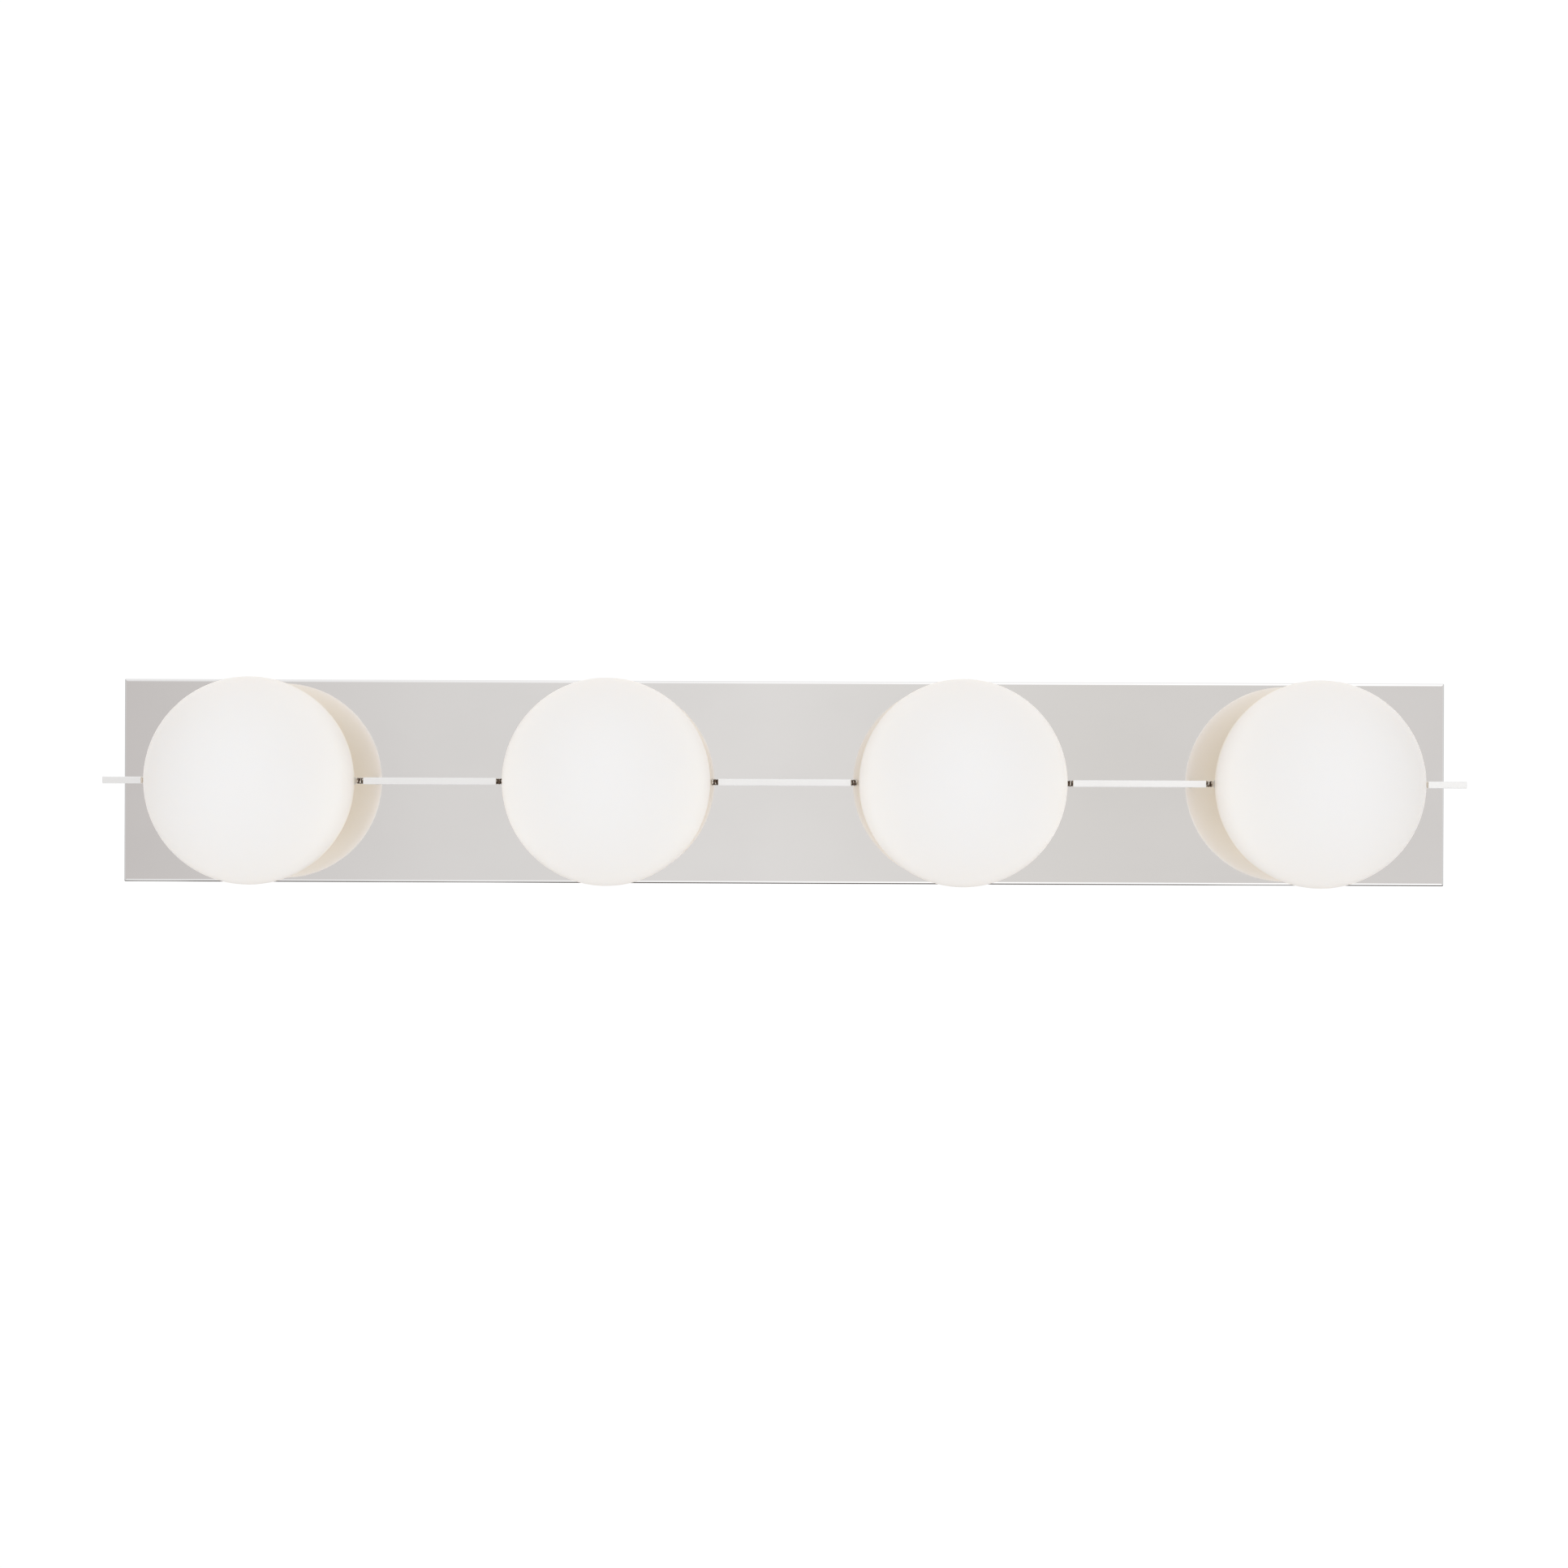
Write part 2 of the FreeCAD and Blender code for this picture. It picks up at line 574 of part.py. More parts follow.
def heat_sink(label, x):
    """A round plate with a hub over the post and fins all round behind it."""
    piece = body(label, x)
    hub = "hub_dia / 2"
    rim = "sink_dia / 2"
    back = f"{SINK_Y} + fin_height"
    turn(piece, [("post_dia / 2 + fit", back), (hub, back), (hub, SINK_Y), (rim, SINK_Y), (rim, BOARD_Y),
                 ("cable_hole / 2", BOARD_Y), ("cable_hole / 2", SINK_Y), ("post_dia / 2 + fit", SINK_Y)])
    drawing = sketch(piece, "Fin", "XZ_Plane", f"-({back})")
    rectangle(drawing, f"{hub} - fin_thick / 2", "-fin_thick / 2", f"{rim} - fin_thick / 2", "fin_thick / 2")
    round_pattern(piece, pad(piece, drawing, "fin_height + sink_plate / 2"), FINS)
    drawing = sketch(piece, "BoardScrewHole", "XZ_Plane", f"-({BOARD_Y})")
    ring(drawing, f"board_screw_ring / 2 * cos({SCREW_TURN})", f"board_screw_ring / 2 * sin({SCREW_TURN})",
         "board_screw_dia / 2 + fit")
    round_pattern(piece, pocket(piece, drawing, "sink_plate + 1"), BOARD_SCREWS)


def led_board(label, x):
    """A round metal-core board with a cable hole and three screw holes."""
    piece = body(label, x)
    rim = "board_dia / 2"
    turn(piece, [("cable_hole / 2", BOARD_Y), (rim, BOARD_Y), (rim, LED_Y), ("cable_hole / 2", LED_Y)])
    drawing = sketch(piece, "BoardScrewHole", "XZ_Plane", f"-({LED_Y})")
    ring(drawing, f"board_screw_ring / 2 * cos({SCREW_TURN})", f"board_screw_ring / 2 * sin({SCREW_TURN})",
         "board_screw_dia / 2 + loose")
    round_pattern(piece, pocket(piece, drawing, "board_thick + 1"), BOARD_SCREWS)


def cross_rod(label, x):
    """A plain rod through the post and both glass sides, into the bars."""
    reach = f"{BAR_END} + rod_entry"
    single(label, cylinder(f"Rod{label[-1]}", "rod_dia / 2", f"2 * ({reach})",
                           (f"{x} - ({reach})", BAR_Y, "0"), ALONG_X))


gaskets = []
washers = []
post_nuts = []
packages = []
board_screws = []
plugs = []
bushes = []
ferrules = []
for index in range(GLOBES):
    number = index + 1
    x = globe_x(index)
    glass(f"globe_{number}", x)
    holder(f"holder_{number}", x)
    post(f"post_{number}", x)
    heat_sink(f"heat_sink_{number}", x)
    led_board(f"led_board_{number}", x)
    cross_rod(f"cross_rod_{number}", x)

    # soft ring between the glass mouth and the dish
    gaskets.append(cut(
        f"Gasket{number}",
        cylinder(f"GasketDisc{number}", "mouth_dia / 2 + gasket_lip", "gasket_thick", (x, LEDGE_Y, "0")),
        cylinder(f"GasketHole{number}", f"{STEP_R} + step_gap / 2", "gasket_thick", (x, LEDGE_Y, "0"))))

    # washer with inward teeth, then the nut, on the pan's inside face
    washer_y = f"{INSIDE_Y} + washer_thick"
    nut_y = f"{washer_y} + nut_height"
    tooth_circle = "thread_dia / 2 + loose"
    notches = [cylinder(f"WasherHole{number}", tooth_circle, "washer_thick", (x, washer_y, "0"))]
    for notch in range(8):
        turned = FreeCAD.Rotation(V(0, 1, 0), notch * 45)
        gap = block(f"WasherNotch{number}_{notch}", f"{tooth_circle} + washer_tooth", "washer_thick",
                    "washer_tooth", (x, f"{washer_y} - washer_thick", "0"))
        gap.Placement.Rotation = turned
        notches.append(gap)
    washers.append(cut(
        f"StarWasher{number}",
        cylinder(f"WasherDisc{number}", "washer_dia / 2", "washer_thick", (x, washer_y, "0")),
        fuse(f"WasherNotches{number}", *notches)))
    post_nuts.append(cut(
        f"PostNut{number}",
        hexagon(f"PostNutBar{number}", "nut_across", "nut_height", (x, nut_y, "0")),
        cylinder(f"PostNutBore{number}", "thread_dia / 2 + fit", "nut_height", (x, nut_y, "0"))))

    # LED packages in a ring on the board, the board's three screws and its connector
    for led in range(LEDS):
        angle = f"{led * 360 / LEDS}"
        chip = block(f"Led{number}_{led}", "led_size", "led_rise", "led_size",
                     (f"{x} + led_ring / 2 * cos({angle}) - led_size / 2", f"{LED_Y} - led_rise",
                      f"led_ring / 2 * sin({angle}) - led_size / 2"))
        packages.append(chip)
    for screw in range(BOARD_SCREWS):
        angle = f"{SCREW_TURN + screw * 360 / BOARD_SCREWS}"
        sx = f"{x} + board_screw_ring / 2 * cos({angle})"
        sz = f"board_screw_ring / 2 * sin({angle})"
        tag = f"{number}_{screw}"
        board_screws.append(fuse(
            f"BoardScrew{tag}",
            cylinder(f"BoardScrewShank{tag}", "board_screw_dia / 2", "board_screw_grip + board_thick",
                     (sx, f"{BOARD_Y} + board_screw_grip", sz)),
            cylinder(f"BoardScrewHead{tag}", "board_screw_head / 2", "board_screw_rise", (sx, LED_Y, sz))))
    plugs.append(block(f"Plug{number}", "plug_width", "plug_rise", "plug_height",
                       (f"{x} - plug_width / 2", f"{LED_Y} - plug_rise", "-plug_height / 2")))

    # a soft bush in each glass side hole, and a grooved sleeve from it to the bar
    for side in (-1, 1):
        tag = f"{number}{'L' if side < 0 else 'R'}"
        bush_x = f"{x} + {BUSH_END} - bush_length" if side > 0 else f"{x} - {BUSH_END}"
        bush_at = (bush_x, BAR_Y, "0")
        bushes.append(cut(
            f"Bush{tag}",
            cylinder(f"BushBar{tag}", "side_hole_dia / 2 - fit", "bush_length", bush_at, ALONG_X),
            cylinder(f"BushBore{tag}", "rod_dia / 2 + fit", "bush_length", bush_at, ALONG_X)))
        sleeve_x = f"{x} + {BUSH_END}" if side > 0 else f"{x} - {BAR_END}"
        sleeve_at = (sleeve_x, BAR_Y, "0")
        grooves = [cylinder(f"FerruleBore{tag}", "rod_dia / 2 + fit", "ferrule_length", sleeve_at, ALONG_X)]
        for groove in (-1, 0, 1):
            middle = f"{sleeve_x} + ferrule_length / 2 + {groove} * groove_pitch"
            at = (f"{middle} - groove_width / 2", BAR_Y, "0")
            grooves.append(cut(
                f"Groove{tag}{groove + 1}",
                cylinder(f"GrooveOut{tag}{groove + 1}", "ferrule_dia / 2 + 1", "groove_width", at, ALONG_X),
                cylinder(f"GrooveIn{tag}{groove + 1}", "ferrule_dia / 2 - groove_depth", "groove_width",
                         at, ALONG_X)))
        ferrules.append(cut(
            f"Ferrule{tag}",
            cylinder(f"FerruleBar{tag}", "ferrule_dia / 2", "ferrule_length", sleeve_at, ALONG_X),
            *grooves))

group("globe_gaskets", gaskets)
group("star_washers", washers)
group("post_nuts", post_nuts)
group("led_packages", packages)
group("led_board_screws", board_screws)
group("board_connectors", plugs)
group("rod_bushes", bushes)
group("bar_ferrules", ferrules)

# ---------------------------------------------------------------- the bar, in five lengths
# Square bar with bevelled edges, bored at each end that takes a rod, and locked from the wall side.
bar_screws = []


def bar(label, start, length, bored_ends):
    """One length of bar along X; bored_ends is 0 for the left end, 1 for the right, or both."""
    piece = body(label, start, BAR_Y)
    drawing = sketch(piece, "Section", "YZ_Plane")
    flat = "bar_size / 2"
    short = "bar_size / 2 - bar_bevel"
    outline(drawing, [(f"-({short})", f"-{flat}"), (short, f"-{flat}"), (flat, f"-({short})"), (flat, short),
                      (short, flat), (f"-({short})", flat), (f"-{flat}", short), (f"-{flat}", f"-({short})")])
    pad(piece, drawing, length)
    for end in bored_ends:
        left = "0" if end == 0 else f"{length} - rod_entry - bore_spare"
        drawing = sketch(piece, f"Bore{end}", "YZ_Plane", left)
        ring(drawing, "0", "0", "rod_dia / 2 + fit")
        pocket(piece, drawing, "rod_entry + bore_spare", backwards=True)
        along = "bar_screw_inset" if end == 0 else f"{length} - bar_screw_inset"
        drawing = sketch(piece, f"ScrewHole{end}", "XZ_Plane")
        ring(drawing, along, "0", "bar_screw_dia / 2 + fit")
        pocket(piece, drawing, "bar_size")
        bar_screws.append(cylinder(
            f"{label}Screw{end}", "bar_screw_dia / 2", "bar_size / 2 - rod_dia / 2",
            (f"{start} + {along}", f"{BAR_Y} + bar_size / 2", "0")))


LEFT_END = f"({globe_x(0)} - {BAR_END})"
RIGHT_END = f"({globe_x(GLOBES - 1)} + {BAR_END})"
bar("bar_stub_left", f"{LEFT_END} - stub_length", "stub_length", (1,))
for index in range(GLOBES - 1):
    bar(f"bar_span_{index + 1}", f"{globe_x(index)} + {BAR_END}", SPAN, (0, 1))
bar("bar_stub_right", RIGHT_END, "stub_length", (0,))
group("bar_set_screws", bar_screws)

# ---------------------------------------------------------------- LED driver
# A flat tray screwed to the bracket below the window, with its lid, board and two large parts.
TRAY_FRONT = "(-bracket_sheet - driver_height)"
tray = body("driver_tray")
drawing = sketch(tray, "TrayBlock", "XZ_Plane", "bracket_sheet")
rectangle(drawing, "-driver_length / 2", f"{DRIVER_Z} - driver_width / 2",
          "driver_length / 2", f"{DRIVER_Z} + driver_width / 2")
pad(tray, drawing, "driver_height")
drawing = sketch(tray, "TrayTabs", "XZ_Plane", "bracket_sheet")
rectangle(drawing, "-driver_length / 2 - tab_length", f"{DRIVER_Z} - tab_length / 2",
          "driver_length / 2 + tab_length", f"{DRIVER_Z} + tab_length / 2")
pad(tray, drawing, "tab_thick")
drawing = sketch(tray, "TrayInside", "XZ_Plane", "bracket_sheet + driver_height")
rectangle(drawing, "-driver_length / 2 + driver_wall", f"{DRIVER_Z} - driver_width / 2 + driver_wall",
          "driver_length / 2 - driver_wall", f"{DRIVER_Z} + driver_width / 2 - driver_wall")
pocket(tray, drawing, "driver_height - driver_wall")
PILLAR_X = "(driver_length / 2 - driver_wall - pillar_dia)"
PILLAR_Z = "(driver_width / 2 - driver_wall - pillar_dia)"
drawing = sketch(tray, "Pillars", "XZ_Plane", "bracket_sheet + driver_wall / 2")
for side in (-1, 1):
    for level in (-1, 1):
        ring(drawing, f"{side} * {PILLAR_X}", f"{DRIVER_Z} + {level} * {PILLAR_Z}", "pillar_dia / 2")
pad(tray, drawing, "driver_wall / 2 + pillar_height")
drawing = sketch(tray, "TabHoles", "XZ_Plane", "bracket_sheet + tab_thick")
for side in (-1, 1):
    ring(drawing, f"{side} * (driver_length + tab_length) / 2", DRIVER_Z, "driver_screw_dia / 2 + loose")
pocket(tray, drawing, "tab_thick + 1")

single("driver_lid", block("DriverLid", "driver_length", "driver_wall", "driver_width",
                           ("-driver_length / 2", f"{TRAY_FRONT} - driver_wall",
                            f"{DRIVER_Z} - driver_width / 2")))
DRIVER_BOARD_Y = "(-bracket_sheet - driver_wall - pillar_height)"
PARTS_Y = f"({DRIVER_BOARD_Y} - board_thick)"
single("driver_board", block(
    "DriverBoard", "driver_length - 2 * driver_wall - 2 * board_edge_gap", "board_thick",
    "driver_width - 2 * driver_wall - 2 * board_edge_gap",
    ("-driver_length / 2 + driver_wall + board_edge_gap", PARTS_Y,
     f"{DRIVER_Z} - driver_width / 2 + driver_wall + board_edge_gap")))
single("driver_transformer", block("Transformer", "coil_size", "coil_height", "coil_size",
                                   ("-coil_size / 2", f"{PARTS_Y} - coil_height",
                                    f"{DRIVER_Z} - coil_size / 2")))
single("driver_capacitor", cylinder("Capacitor", "capacitor_dia / 2", "capacitor_length",
                                    ("coil_size", f"{PARTS_Y} - capacitor_dia / 2", DRIVER_Z), ALONG_X))
driver_screws = []
for side in (-1, 1):
    tag = "L" if side < 0 else "R"
    x = f"{side} * (driver_length + tab_length) / 2"
    driver_screws.append(fuse(
        f"DriverScrew{tag}",
        cylinder(f"DriverScrewShank{tag}", "driver_screw_dia / 2", "bracket_sheet + tab_thick",
                 (x, "0", DRIVER_Z)),
        cylinder(f"DriverScrewHead{tag}", "driver_screw_head / 2", "driver_screw_rise",
                 (x, "-bracket_sheet - tab_thick", DRIVER_Z))))
group("driver_screws", driver_screws)

# ---------------------------------------------------------------- supply side
# Ground screw on the bracket and three twist-on connectors above the window.
single("ground_screw", fuse(
    "GroundScrew",
    cylinder("GroundShank", "ground_screw_dia / 2", "bracket_sheet", ("0", "0", "ground_z")),
    hexagon("GroundHead", "ground_head_dia", "ground_head_rise", ("0", "-bracket_sheet", "ground_z"))))
NUT_Y = "(-bracket_sheet - wire_nut_lift)"


def wire_nut(tag, mouth_x, z, facing):
    """A tapered cap along X with a blind mouth; facing is the side the mouth opens to."""
    piece = doc.addObject("PartDesign::Body", f"WireNut{tag}")
    place(piece, mouth_x, NUT_Y, z)
    tip = f"{-facing} * wire_nut_length"
    depth = f"{-facing} * wire_nut_depth"
    turn(piece, [("0", "wire_nut_bore / 2"), ("0", "wire_nut_dia / 2"), (tip, "wire_nut_tip / 2"),
                 (tip, "0"), (depth, "0"), (depth, "wire_nut_bore / 2")], "H_Axis")
    return piece


group("wire_nuts", [wire_nut("Line", "wire_nut_x", "wire_nut_z", 1),
                    wire_nut("Neutral", "-wire_nut_x", "wire_nut_z", -1),
                    wire_nut("Ground", "ground_nut_x", "ground_z", -1)])


# ---------------------------------------------------------------- leads
# Round leads on straight runs joined by tangent arcs, held inside the pan and the posts.
def routed(points, radii):
    """A wire through the points, its inner corners rounded with the given radii."""
    edges = []
    start = points[0]
    for index, radius in enumerate(radii, start=1):
        corner = points[index]
        towards = (points[index - 1] - corner).normalize()
        onwards = (points[index + 1] - corner).normalize()
        half = towards.getAngle(onwards) / 2
        entry = corner + towards * (radius / math.tan(half))
        leave = corner + onwards * (radius / math.tan(half))
        middle_way = (towards + onwards).normalize()
        middle = corner + middle_way * (radius / math.sin(half) - radius)
        edges.append(Part.LineSegment(start, entry).toShape())
        edges.append(Part.Arc(entry, middle, leave).toShape())
        start = leave
    edges.append(Part.LineSegment(start, points[-1]).toShape())
    return Part.Wire(edges)


def lead(name, points, radii, diameter):
    """A lead's solid, with its volume compared with its section times its length."""
    path = routed([V(*[size(of(value)) for value in point]) for point in points],
                  [size(of(radius)) for radius in radii])
    radius = size(of(diameter)) / 2
    first = path.Edges[0]
    direction = first.tangentAt(first.FirstParameter)
    section = Part.Wire(Part.Circle(first.Vertexes[0].Point, direction, radius).toShape())
    solid = path.makePipeShell([section], True, False)
    expected = math.pi * radius ** 2 * path.Length
    if abs(solid.Volume - expected) > 0.01 * expected:
        raise RuntimeError(f"{name}: swept volume {solid.Volume:.1f}, expected {expected:.1f}")
    item = doc.addObject("Part::Feature", name)
    item.Shape = solid
    item.Placement = FreeCAD.Placement()
    return item


def into_post(x, level, run_z):
    """From a board connector back along the post and up or down to the run, at globe x."""
    z = f"{level} * {LEAD_Z}"
    return [(x, LED_Y, z), (x, LEAD_Y, z), (x, LEAD_Y, run_z)]


def link(name, left, right, level, run_z):
    """A lead from one globe's board to another's, along the upper or lower run."""
    points = into_post(globe_x(left), level, run_z) + into_post(globe_x(right), level, run_z)[::-1]
    return lead(name, points, ["lead_bend", "corner_bend", "corner_bend", "lead_bend"], "led_lead_dia")


last = GLOBES - 1
group("link_leads", [link("LinkLeft", 0, 1, 1, "upper_run"),
                     link("LinkRight", last - 1, last, 1, "upper_run"),
                     link("LinkAcross", 0, last, -1, f"-{LOWER_RUN}")])
for label, index, side in (("lead_black", 1, -1), ("lead_red", last - 1, 1)):
    exit_z = f"{DRIVER_Z} - driver_width / 4"
    points = into_post(globe_x(index), -1, exit_z) + [(f"{side} * driver_length / 2", LEAD_Y, exit_z)]
    single(label, lead(label.title().replace("_", ""), points, ["lead_bend", "corner_bend"], "led_lead_dia"))
for label, side in (("lead_neutral", -1), ("lead_line", 1)):
    exit_z = f"{DRIVER_Z} + driver_width / 2 - driver_wall * 2"
    turn_x = f"{side} * supply_turn_x"
    points = [(f"{side} * driver_length / 2", NUT_Y, exit_z), (turn_x, NUT_Y, exit_z),
              (turn_x, NUT_Y, "wire_nut_z"),
              (f"{side} * (wire_nut_x - wire_nut_depth)", NUT_Y, "wire_nut_z")]
    single(label, lead(label.title().replace("_", ""), points, ["corner_bend", "corner_bend"],
                       "supply_lead_dia"))
GROUND_Y = "(-bracket_sheet - ground_head_rise - supply_lead_dia / 2)"
single("lead_ground", lead("LeadGround", [
    ("0", GROUND_Y, "ground_z"), ("ground_nut_x / 4", GROUND_Y, "ground_z"),
    ("ground_nut_x * 3 / 4", NUT_Y, "ground_z"), ("ground_nut_x + wire_nut_depth", NUT_Y, "ground_z")],
    ["supply_lead_dia * 5", "supply_lead_dia * 5"], "supply_lead_dia"))

clips = []
CLIP_REACH = f"({LEAD_Y} + led_lead_dia / 2 + clip_cover - {INSIDE_Y})"
for number, (x, z) in enumerate((
        (f"({globe_x(0)} + {globe_x(1)}) / 2", "upper_run"),
        (f"({globe_x(2)} + {globe_x(3)}) / 2", "upper_run"),
        (f"({globe_x(0)} + {globe_x(1)}) / 2", f"-{LOWER_RUN}"),
        ("0", f"-{LOWER_RUN}"),
        (f"({globe_x(2)} + {globe_x(3)}) / 2", f"-{LOWER_RUN}"))):
    clips.append(cut(
        f"Clip{number}",
        block(f"ClipBlock{number}", "clip_width", CLIP_REACH, "clip_height",
              (f"{x} - clip_width / 2", INSIDE_Y, f"{z} - clip_height / 2")),
        cylinder(f"ClipHole{number}", "led_lead_dia / 2 + fit", "clip_width + 2",
                 (f"{x} - clip_width / 2 - 1", LEAD_Y, z), ALONG_X)))
group("lead_clips", clips)

# ---------------------------------------------------------------- check and write
doc.recompute()
for item in doc.Objects:
    if "Invalid" in item.State or "Error" in item.State:
        raise RuntimeError(f"{item.Name} failed: {item.State}")
    if item.TypeId in ("PartDesign::Pocket", "PartDesign::Groove"):
        if item.Shape.Volume > item.BaseFeature.Shape.Volume - 0.001:
            raise RuntimeError(f"{item.Name} cuts nothing")
os.makedirs("parts", exist_ok=True)
for node in nodes:
    if node.Shape.isNull() or not node.Shape.isValid() or not node.Shape.Solids:
        raise RuntimeError(f"{node.Label} is not a valid solid")
    node.Shape.exportStep(f"parts/{node.Label}.step")
print(len(nodes), "nodes written")
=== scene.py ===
import math

import bpy
import bmesh
import numpy as np
from mathutils import Matrix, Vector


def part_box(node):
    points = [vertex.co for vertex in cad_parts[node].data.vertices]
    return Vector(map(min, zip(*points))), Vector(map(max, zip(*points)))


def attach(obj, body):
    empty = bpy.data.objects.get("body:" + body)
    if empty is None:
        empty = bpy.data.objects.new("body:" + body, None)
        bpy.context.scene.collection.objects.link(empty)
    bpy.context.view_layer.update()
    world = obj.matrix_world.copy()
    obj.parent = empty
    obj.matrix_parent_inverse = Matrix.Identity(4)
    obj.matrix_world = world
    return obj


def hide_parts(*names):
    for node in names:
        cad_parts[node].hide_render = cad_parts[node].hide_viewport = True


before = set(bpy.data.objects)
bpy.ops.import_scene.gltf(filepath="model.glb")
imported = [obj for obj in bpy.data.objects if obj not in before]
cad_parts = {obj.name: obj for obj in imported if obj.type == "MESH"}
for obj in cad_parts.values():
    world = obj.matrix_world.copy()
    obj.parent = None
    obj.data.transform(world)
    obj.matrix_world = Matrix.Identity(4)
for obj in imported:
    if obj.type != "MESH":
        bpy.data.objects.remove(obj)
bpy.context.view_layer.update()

MM = 0.001


# ------------------------------------------------------------------ back pan
# A long shallow pan folded from one sheet of steel and plated to a mirror, with its open side to the
# wall. Four holes take the posts, and two in each long edge take the grub screws that lock it.
def quads(rows, points, joined):
    """Corner numbers of a grid whose columns close on themselves; joined closes the rows too."""
    down = np.arange(rows if joined else rows - 1)[:, None]
    along = np.arange(points)[None, :]
    nearer, further = down * points, (down + 1) % rows * points
    step = (along + 1) % points
    return np.stack([nearer + along, nearer + step, further + step, further + along], axis=-1).reshape(-1, 4)


def face_outwards(mesh):
    """Turns every face of each closed shell to point out of it."""
    shell = bmesh.new()
    shell.from_mesh(mesh)
    bmesh.ops.recalc_face_normals(shell, faces=shell.faces)
    shell.to_mesh(mesh)
    shell.free()


def smoothed(mesh, soft_angle):
    """Smooth shading all over, except across folds sharper than soft_angle degrees."""
    mesh.polygons.foreach_set("use_smooth", np.ones(len(mesh.polygons), dtype=bool))
    mesh.set_sharp_from_angle(angle=math.radians(soft_angle))


def skin(grids, name, ends="flat", soft_angle=35):
    """One mesh from grids of points, each rows x points x 3, whose columns are closed loops.

    ends is flat for a face over each end, tip for one point at the end row's mean, or joined for a
    surface that comes back to its first row. Normals point outwards, and folds past soft_angle are sharp.
    """
    places, faces, start = [], [], 0
    for grid in grids:
        rows, points = grid.shape[:2]
        places.append(grid.reshape(-1, 3))
        faces += (quads(rows, points, ends == "joined") + start).tolist()
        if ends == "flat":
            faces.append(list(range(start, start + points)))
            faces.append(list(range(start + (rows - 1) * points, start + rows * points)))
        start += rows * points
        if ends == "tip":
            base = start - rows * points
            for row in (0, rows - 1):
                places.append(grid[row].mean(axis=0)[None])
                first = base + row * points
                loop = np.arange(points)
                faces += np.stack([first + loop, first + (loop + 1) % points,
                                   np.full(points, start)], axis=-1).tolist()
                start += 1
    mesh = bpy.data.meshes.new(name)
    mesh.from_pydata(np.concatenate(places).tolist(), [], faces)
    face_outwards(mesh)
    smoothed(mesh, soft_angle)
    piece = bpy.data.objects.new(name, mesh)
    bpy.context.scene.collection.objects.link(piece)
    return piece


def drilled(piece, cutters, soft_angle=35):
    """Cuts a piece with round cutters, once and for all, and drops the cutters."""
    for cutter in cutters:
        drill = piece.modifiers.new("Drill", "BOOLEAN")
        drill.operation = "DIFFERENCE"
        drill.solver = "EXACT"
        drill.object = cutter
    graph = bpy.context.evaluated_depsgraph_get()
    mesh = bpy.data.meshes.new_from_object(piece.evaluated_get(graph))
    piece.modifiers.clear()
    piece.data = mesh
    smoothed(mesh, soft_angle)
    for cutter in cutters:
        bpy.data.objects.remove(cutter)


def drill_bit(start, end, radius, points=48):
    """A round cutter from one point to another: two equal circles square to the line between."""
    start, end = np.array(start), np.array(end)
    line = (end - start) / np.linalg.norm(end - start)
    slanting = [0.3, 0.5, 0.8]
    side = np.cross(line, slanting)
    side /= np.linalg.norm(side)
    other = np.cross(line, side)
    turn = np.linspace(0, 2 * math.pi, points, endpoint=False)[:, None]
    circle = radius * (np.cos(turn) * side + np.sin(turn) * other)
    return skin([np.stack([start + circle, end + circle])], "bit")


def rounded_rectangle(half_x, half_z, radius, arc_points=12):
    """A closed loop in X and Z: four quarter circles of the given radius, joined by straight sides.

    One more point a third of a radius before and after each arc keeps the sides flat under smooth shading.
    """
    turn = np.linspace(0, math.pi / 2, arc_points)
    held = radius / 3 * np.array([-1] + [0] * arc_points + [1])
    corners = [(1, 1), (-1, 1), (-1, -1), (1, -1)]
    loop = []
    for number, (x, z) in enumerate(corners):
        angle = np.concatenate([turn[:1], turn, turn[-1:]]) + number * math.pi / 2
        across = x * (half_x - radius) + radius * np.cos(angle) - held * np.sin(angle)
        up = z * (half_z - radius) + radius * np.sin(angle) + held * np.cos(angle)
        loop.append(np.stack([across, up], axis=-1))
    return np.concatenate(loop)


PAN_LOW, PAN_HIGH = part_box("back_pan")
PAN_SHEET = 1.2 * MM
FOLD_RADIUS = 0.8 * MM
INSIDE_BEND = 0.25 * MM
LEAST_CORNER = 0.02 * MM
FACE_Y = PAN_LOW.y
POST_HOLE = 5.2 * MM
POST_HOLE_REACH = 5 * MM
GRUB_HOLE = 2.2 * MM
GRUB_HOLE_REACH = 3 * MM


def folded_pan():
    """The sheet's section carried round a rounded rectangle.

    Each row is an inset from the outside and a Y: out from the middle of the face, round the fold by
    sine and cosine of one angle, back to the wall, across the sheet and round again on the inside.
    """
    half_x, half_z = PAN_HIGH.x, PAN_HIGH.z
    bend = np.linspace(0, math.pi / 2, 14)
    inner = PAN_SHEET + INSIDE_BEND
    section = [(PAN_SHEET * 2, FACE_Y)]
    section += [(FOLD_RADIUS * (1 - math.sin(a)), FACE_Y + FOLD_RADIUS * (1 - math.cos(a))) for a in bend]
    section += [(0, -PAN_SHEET), (0, PAN_HIGH.y), (PAN_SHEET, PAN_HIGH.y), (PAN_SHEET, -PAN_SHEET)]
    section += [(inner - INSIDE_BEND * math.sin(a), FACE_Y + inner - INSIDE_BEND * math.cos(a))
                for a in bend[::-1]]
    section += [(PAN_SHEET * 2, FACE_Y + PAN_SHEET)]
    rows = []
    for inset, y in section:
        corner = max(FOLD_RADIUS - inset, LEAST_CORNER)
        loop = rounded_rectangle(half_x - inset, half_z - inset, corner)
        rows.append(np.stack([loop[:, 0], np.full(len(loop), y), loop[:, 1]], axis=-1))
    return skin([np.stack(rows)], "back_pan_sheet")


